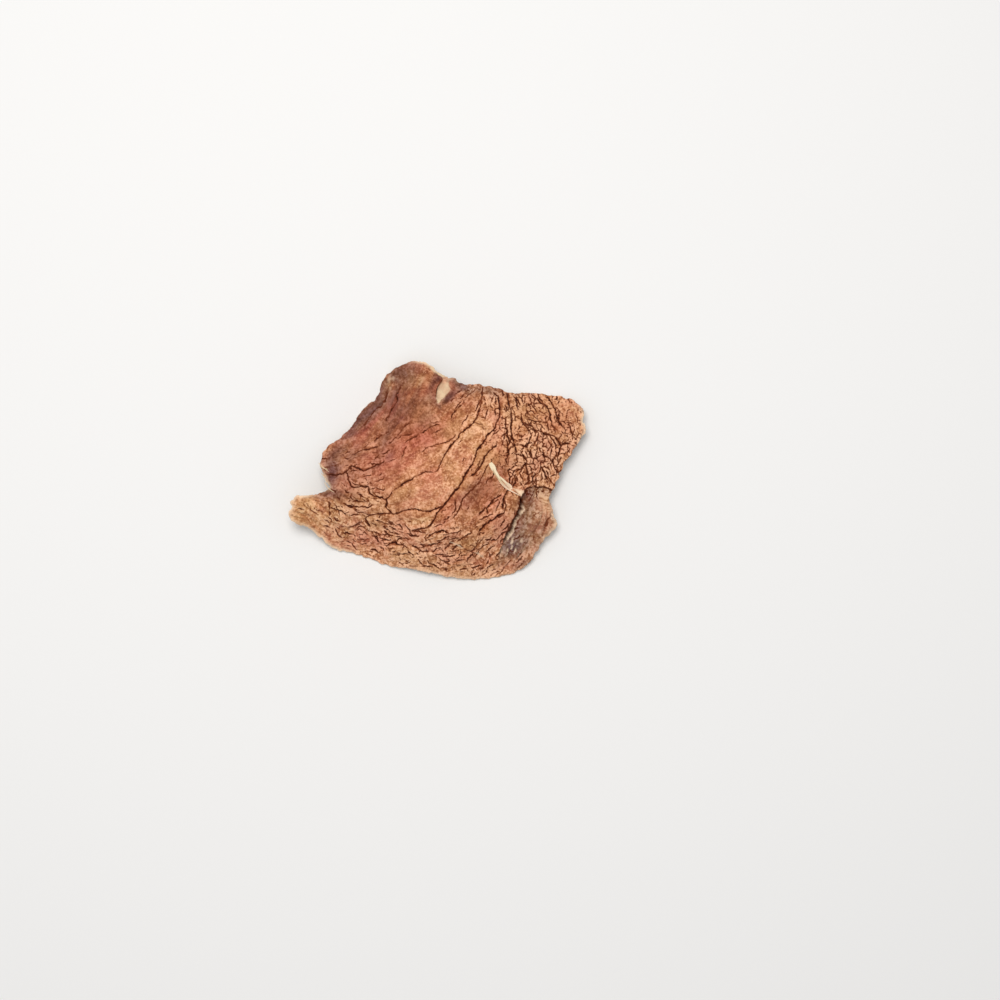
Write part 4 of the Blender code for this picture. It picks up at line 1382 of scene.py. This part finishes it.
# The gills, a fan of thin blades of pale dried flesh that hang close together under the cap. They
# grew with it from the stem to the margin, and shorter blades fill in where the long ones spread.
GILL_MIDDLE = (-3.0, 1.5)
GILL_TIERS = ((48, 3.0), (48, 8.0), (96, 14.0), (192, 26.0))
GILL_STEP = 0.6
GILL_REACH = 46.0
GILL_INSET = 0.45
GILL_DEPTH = 2.0
GILL_HALF = 0.11
GILL_SINK = 0.30
GILL_SWAY = 0.24
GILL_BEND = 0.40
FLOOR_GAP = 0.06

steep = np.sqrt(1.0 + slope_x**2 + slope_y**2)
underside = form + (soft_relief - thickness) * steep
lowest = relief
for axis in (0, 1):
    lowest = np.minimum.reduce([np.roll(lowest, cells, axis=axis) for cells in range(-6, 7)])
gill_ceiling = form + (lowest - 0.45) * steep
gill_bend = GILL_BEND * patches(101, 5.0)
gill_sway = GILL_SWAY * patches(102, 2.4)
gill_edge = 1.0 + 0.10 * patches(103, 1.2) + 0.05 * patches(104, 0.5)


def one_blade(angle, begin, tapered):
    """The points of one blade, six to a station: down one side and up the other."""
    run = np.arange(begin, GILL_REACH, GILL_STEP)
    out = np.array([math.cos(angle), math.sin(angle)])
    side = np.array([-out[1], out[0]])
    place = np.array(GILL_MIDDLE) + run[:, None] * out
    place += read_map(gill_bend, *place.T)[:, None] * side
    inset = read_map(from_margin, *place.T)
    stop = int(np.argmax(np.append(inset, -1.0) < GILL_INSET))
    if stop < 6:
        return None
    place, inset, run = place[:stop], inset[:stop], run[:stop]
    depth = GILL_DEPTH * smooth_step(inset, -0.5, 7.0) * (0.5 + 0.5 * smooth_step(run, 3.0, 9.0))
    depth *= read_map(gill_edge, *place.T)
    if tapered:
        depth *= smooth_step(run - begin, -0.6, 3.5)
    top = read_map(underside, *place.T)
    foot = (top - depth).clip(FLOOR_GAP, None)
    top = np.minimum(top + GILL_SINK, read_map(gill_ceiling, *place.T))
    foot = np.minimum(foot, top - 0.05)
    sway = read_map(gill_sway, *place.T)
    stations = []
    for half, lean, share in (
        (1.0, 0.0, 0.0), (0.9, 0.45, 0.5), (0.35, 1.0, 1.0), (-0.35, 1.0, 1.0), (-0.9, 0.45, 0.5),
        (-1.0, 0.0, 0.0),
    ):  # fmt: skip
        aside = place + (half * GILL_HALF + lean * sway)[:, None] * side
        stations.append(np.column_stack([aside, top + (foot - top) * share]))
    return np.stack(stations, axis=1)


def grow_gills():
    random = np.random.default_rng(105)
    points, faces, tone, edge = [], [], [], []
    total = 0
    for tier, (count, start) in enumerate(GILL_TIERS):
        for number in range(count):
            angle = math.tau * (number + (0.5 if tier else 0.0) + random.uniform(-0.12, 0.12)) / count
            begin = start * random.uniform(1.0, 1.25 if tier else 1.05)
            shade = random.uniform(0.0, 1.0)
            blade = one_blade(angle, begin, tier > 0)
            if blade is None:
                continue
            rings, around = blade.shape[:2]
            faces += tube_faces(rings, around, total)
            points.append(blade.reshape(-1, 3))
            tone.append(np.full(rings * around, shade))
            edge.append(np.tile([0.0, 0.4, 1.0, 1.0, 0.4, 0.0], rings))
            total += rings * around
    points = np.vstack(points)
    points[:, 2] = points[:, 2].clip(0.03, None)
    mesh = new_mesh("gill_fan", points, faces)
    paint(mesh, "tone", np.concatenate(tone))
    paint(mesh, "edge", np.concatenate(edge))
    return mesh


GILL_PALE = colour(236, 208, 170)
GILL_MIDTONE = colour(214, 180, 138)
GILL_DARK = colour(180, 140, 98)
GILL_STAIN = colour(140, 94, 60)


def gill_material():
    material = bpy.data.materials.new("gill_flesh")
    material.use_nodes = True
    tree = material.node_tree
    shader = tree.nodes["Principled BSDF"]
    place = add(tree, "ShaderNodeTexCoord", {}).outputs["Object"]
    tone = add(tree, "ShaderNodeAttribute", {}, attribute_name="tone").outputs["Fac"]
    edge = add(tree, "ShaderNodeAttribute", {}, attribute_name="edge").outputs["Fac"]
    fine = placed(tree, grain, Size=0.8, Vector=place)
    blotch = add(tree, "ShaderNodeTexNoise", {"Vector": place, "Scale": 140.0, "Detail": 4.0}).outputs[0]
    body = mixed(tree, GILL_DARK, GILL_MIDTONE, scaled(tree, blotch, 0.32, 0.52, 0.0, 1.0))
    body = mixed(tree, body, GILL_PALE, scaled(tree, blotch, 0.48, 0.68, 0.0, 0.9))
    body = mixed(tree, body, GILL_DARK, scaled(tree, tone, 0.2, 1.0, 0.0, 0.45))
    body = mixed(tree, body, GILL_PALE, scaled(tree, edge, 0.3, 1.0, 0.0, 0.35))
    stain = summed(tree, "ADD", scaled(tree, blotch, 0.30, 0.42, 0.55, 0.0), scaled(tree, edge, 0.6, 1.0, 0.0, 0.12))
    body = mixed(tree, body, GILL_STAIN, stain)
    body = mixed(tree, body, GILL_DARK, scaled(tree, fine.outputs["Tone"], 0.36, 0.52, 0.5, 0.0))
    tree.links.new(body, shader.inputs["Base Color"])
    tree.links.new(scaled(tree, fine.outputs["Tone"], 0.3, 0.7, 0.70, 0.92), shader.inputs["Roughness"])
    bump = add(
        tree,
        "ShaderNodeBump",
        {"Strength": 0.5, "Distance": 0.10 * MM, "Height": fine.outputs["Height"]},
    )
    tree.links.new(bump.outputs[0], shader.inputs["Normal"])
    return material


show("gill_fan", grow_gills(), gill_material(), "gills")


# The stem, a short stalk of tough fibres. It grew down from the middle of the cap, bent over and
# shrank into lengthwise wrinkles as it dried, and broke off at its dirty lower end.
STEM_ROUTE = (
    (-3.0, 1.5, 13.0, 3.7), (-3.05, 1.45, 11.6, 3.4), (-3.1, 1.4, 9.4, 3.1), (-4.6, 0.9, 6.2, 3.0),
    (-8.6, -0.3, 4.3, 2.9), (-14.0, -2.0, 3.7, 2.8), (-19.5, -3.9, 3.2, 2.6), (-22.4, -4.9, 2.9, 2.2),
)  # fmt: skip
STEM_ASIDE = (0.30, -0.954, 0.0)
STEM_SPACING = 0.18
STEM_AROUND = 120
STEM_FLATTEN = 0.90
STEM_END_RINGS = ((0.86, 0.10), (0.62, 0.16), (0.36, 0.10), (0.12, 0.02))
STEM_RAGGED = 0.45


def fibre_noise(seed, shape, along, across):
    """Random fibres over a wrapped sheet, rings by points around, with their sizes in points."""
    noise = np.random.default_rng(seed).standard_normal(shape)
    rise = np.fft.fftfreq(shape[0])[:, None]
    run = np.fft.rfftfreq(shape[1])[None, :]
    keep = np.exp(-2.0 * math.pi**2 * ((along * rise) ** 2 + (across * run) ** 2))
    noise = np.fft.irfft2(np.fft.rfft2(noise) * keep, s=shape)
    return (noise - noise.mean()) / noise.std()


def build_stem():
    line = rounded(STEM_ROUTE, STEM_SPACING)
    route, radius = line[:, :3], line[:, 3:]
    shape = (len(route), STEM_AROUND)
    share = np.linspace(0.0, 1.0, len(route))[:, None]
    turns = np.arange(STEM_AROUND) / STEM_AROUND * math.tau
    folds = fibre_noise(111, shape, 14.0, 3.4)
    fibres = fibre_noise(112, shape, 6.0, 1.2)
    lumps = fibre_noise(113, shape, 5.0, 6.0)
    flutes = np.cos(3.0 * turns + 1.1 + 2.2 * share) + 0.6 * np.cos(5.0 * turns - 1.5 * share)
    push = 0.13 * folds + 0.06 * fibres + 0.06 * lumps + 0.12 * flutes
    reach = radius + push * smooth_step(share, -0.02, 0.10)
    points = tube(route, STEM_ASIDE, reach * STEM_FLATTEN, reach)
    way = route[-1] - route[-2]
    way /= np.linalg.norm(way)
    torn_back = STEM_RAGGED * fibre_noise(114, (8, STEM_AROUND), 0.5, 3.0)[0]
    fade = smooth_step(share, 0.90, 1.0)
    points += (fade * torn_back)[..., None] * way
    rings = [points]
    for number, (size, out) in enumerate(STEM_END_RINGS):
        rough = 0.16 * fibre_noise(115 + number, (8, STEM_AROUND), 0.5, 3.0)[0] * size
        ring = route[-1] + (points[-1] - route[-1]) * size + (out + rough)[:, None] * way
        rings.append(ring[None])
    points = np.concatenate(rings)
    mesh = new_mesh("stalk", points.reshape(-1, 3), tube_faces(len(points), STEM_AROUND))
    extra = ((0, len(STEM_END_RINGS)), (0, 0))
    # Painted shade: the stalk is coloured darker where its folds and fibres sink in.
    groove_shade = np.pad(0.5 - 0.32 * folds - 0.22 * fibres, extra, mode="edge")
    dirt = np.pad(smooth_step(share + 0.05 * lumps, 0.72, 1.0), extra, mode="edge")
    paint(mesh, "groove_shade", groove_shade.clip(0.0, 1.0).ravel())
    paint(mesh, "dirt", dirt.ravel())
    return mesh


STALK_PALE = colour(206, 172, 130)
STALK_TAN = colour(168, 130, 94)
STALK_DARK = colour(104, 74, 50)
STALK_DIRT = colour(66, 50, 38)


def stalk_material():
    material = bpy.data.materials.new("stalk_fibres")
    material.use_nodes = True
    tree = material.node_tree
    shader = tree.nodes["Principled BSDF"]
    place = add(tree, "ShaderNodeTexCoord", {}).outputs["Object"]
    groove_shade = add(tree, "ShaderNodeAttribute", {}, attribute_name="groove_shade").outputs["Fac"]
    dirt = add(tree, "ShaderNodeAttribute", {}, attribute_name="dirt").outputs["Fac"]
    fine = placed(tree, grain, Size=0.9, Vector=place)
    blotch = add(tree, "ShaderNodeTexNoise", {"Vector": place, "Scale": 180.0, "Detail": 5.0}).outputs[0]
    body = mixed(tree, STALK_PALE, STALK_TAN, scaled(tree, blotch, 0.35, 0.60, 0.0, 1.0))
    # Painted shade in the stalk's sunken folds
    body = mixed(tree, body, STALK_DARK, scaled(tree, groove_shade, 0.50, 0.95, 0.0, 0.85))
    body = mixed(tree, body, STALK_DARK, scaled(tree, fine.outputs["Tone"], 0.36, 0.52, 0.55, 0.0))
    soiled = summed(tree, "MULTIPLY", dirt, scaled(tree, blotch, 0.30, 0.55, 0.55, 1.0))
    body = mixed(tree, body, STALK_DIRT, soiled)
    tree.links.new(body, shader.inputs["Base Color"])
    tree.links.new(scaled(tree, fine.outputs["Tone"], 0.3, 0.7, 0.70, 0.95), shader.inputs["Roughness"])
    bump = add(
        tree,
        "ShaderNodeBump",
        {"Strength": 0.6, "Distance": 0.15 * MM, "Height": fine.outputs["Height"]},
    )
    tree.links.new(bump.outputs[0], shader.inputs["Normal"])
    return material


show("stalk", build_stem(), stalk_material(), "stem")


# The strand, one loose pale fibre torn from a stalk. It dried flat with a forked lower end, and only
# lies on the cap. Each place on its two arms has x, y and half the fibre's width.
STRAND_ARMS = (
    ((12.7, 1.8, 0.40), (12.95, 1.3, 0.55), (13.35, 0.6, 0.62), (13.75, -0.3, 0.48),
     (14.2, -1.0, 0.50), (14.75, -1.8, 0.40), (15.2, -2.65, 0.32), (15.9, -3.55, 0.28), (16.7, -4.25, 0.25),
     (17.5, -4.75, 0.20), (18.2, -5.15, 0.15), (19.3, -5.75, 0.10), (20.3, -6.2, 0.08)),
    ((14.7, -1.3, 0.16), (15.3, -1.9, 0.22), (15.85, -2.4, 0.28), (16.45, -3.05, 0.34),
     (17.1, -3.6, 0.46), (17.5, -4.05, 0.48), (17.85, -4.55, 0.26)),
)  # fmt: skip
STRAND_SPACING = 0.10
STRAND_AROUND = 16
STRAND_HALF_HEIGHT = 0.17
STRAND_LIFT = 0.16

skin_top = form + blurred(relief, 0.35) * steep


def build_strand():
    points, faces, streak, lower = [], [], [], []
    total = 0
    for number, arm in enumerate(STRAND_ARMS):
        line = rounded(arm, STRAND_SPACING)
        height = read_map(skin_top, line[:, 0], line[:, 1]) + STRAND_LIFT
        route = np.column_stack([line[:, :2], height])
        shape = (len(route), STRAND_AROUND)
        fibres = fibre_noise(121 + number, shape, 8.0, 0.8)
        wide = line[:, 2:] * (1.0 + 0.07 * fibres)
        thick = np.minimum(STRAND_HALF_HEIGHT, line[:, 2:]) * (1.0 + 0.22 * fibres)
        points.append(tube(route, (0.0, 0.0, 1.0), wide, thick).reshape(-1, 3))
        faces += tube_faces(*shape, total)
        total += shape[0] * shape[1]
        streak.append((0.5 + 0.3 * fibres).clip(0.0, 1.0).ravel())
        lower.append(np.repeat(smooth_step(-line[:, 1], 2.0, 4.5), STRAND_AROUND))
    mesh = new_mesh("loose_strand", np.vstack(points), faces)
    paint(mesh, "streak", np.concatenate(streak))
    paint(mesh, "lower", np.concatenate(lower))
    return mesh


FIBRE_CREAM = colour(252, 232, 196)
FIBRE_SHADE = colour(204, 176, 136)
FIBRE_PINK = colour(250, 214, 186)


def fibre_material():
    material = bpy.data.materials.new("dried_fibre")
    material.use_nodes = True
    tree = material.node_tree
    shader = tree.nodes["Principled BSDF"]
    place = add(tree, "ShaderNodeTexCoord", {}).outputs["Object"]
    streak = add(tree, "ShaderNodeAttribute", {}, attribute_name="streak").outputs["Fac"]
    lower = add(tree, "ShaderNodeAttribute", {}, attribute_name="lower").outputs["Fac"]
    fine = placed(tree, grain, Size=1.4, Vector=place)
    body = mixed(tree, FIBRE_SHADE, FIBRE_CREAM, scaled(tree, streak, 0.15, 0.60, 0.0, 1.0))
    body = mixed(tree, body, FIBRE_PINK, summed(tree, "MULTIPLY", lower, 0.8))
    body = mixed(tree, body, FIBRE_SHADE, scaled(tree, fine.outputs["Tone"], 0.34, 0.52, 0.7, 0.0))
    tree.links.new(body, shader.inputs["Base Color"])
    tree.links.new(scaled(tree, fine.outputs["Tone"], 0.3, 0.7, 0.55, 0.85), shader.inputs["Roughness"])
    bump = add(
        tree,
        "ShaderNodeBump",
        {"Strength": 0.4, "Distance": 0.06 * MM, "Height": fine.outputs["Height"]},
    )
    tree.links.new(bump.outputs[0], shader.inputs["Normal"])
    return material


show("loose_strand", build_strand(), fibre_material(), "strand")
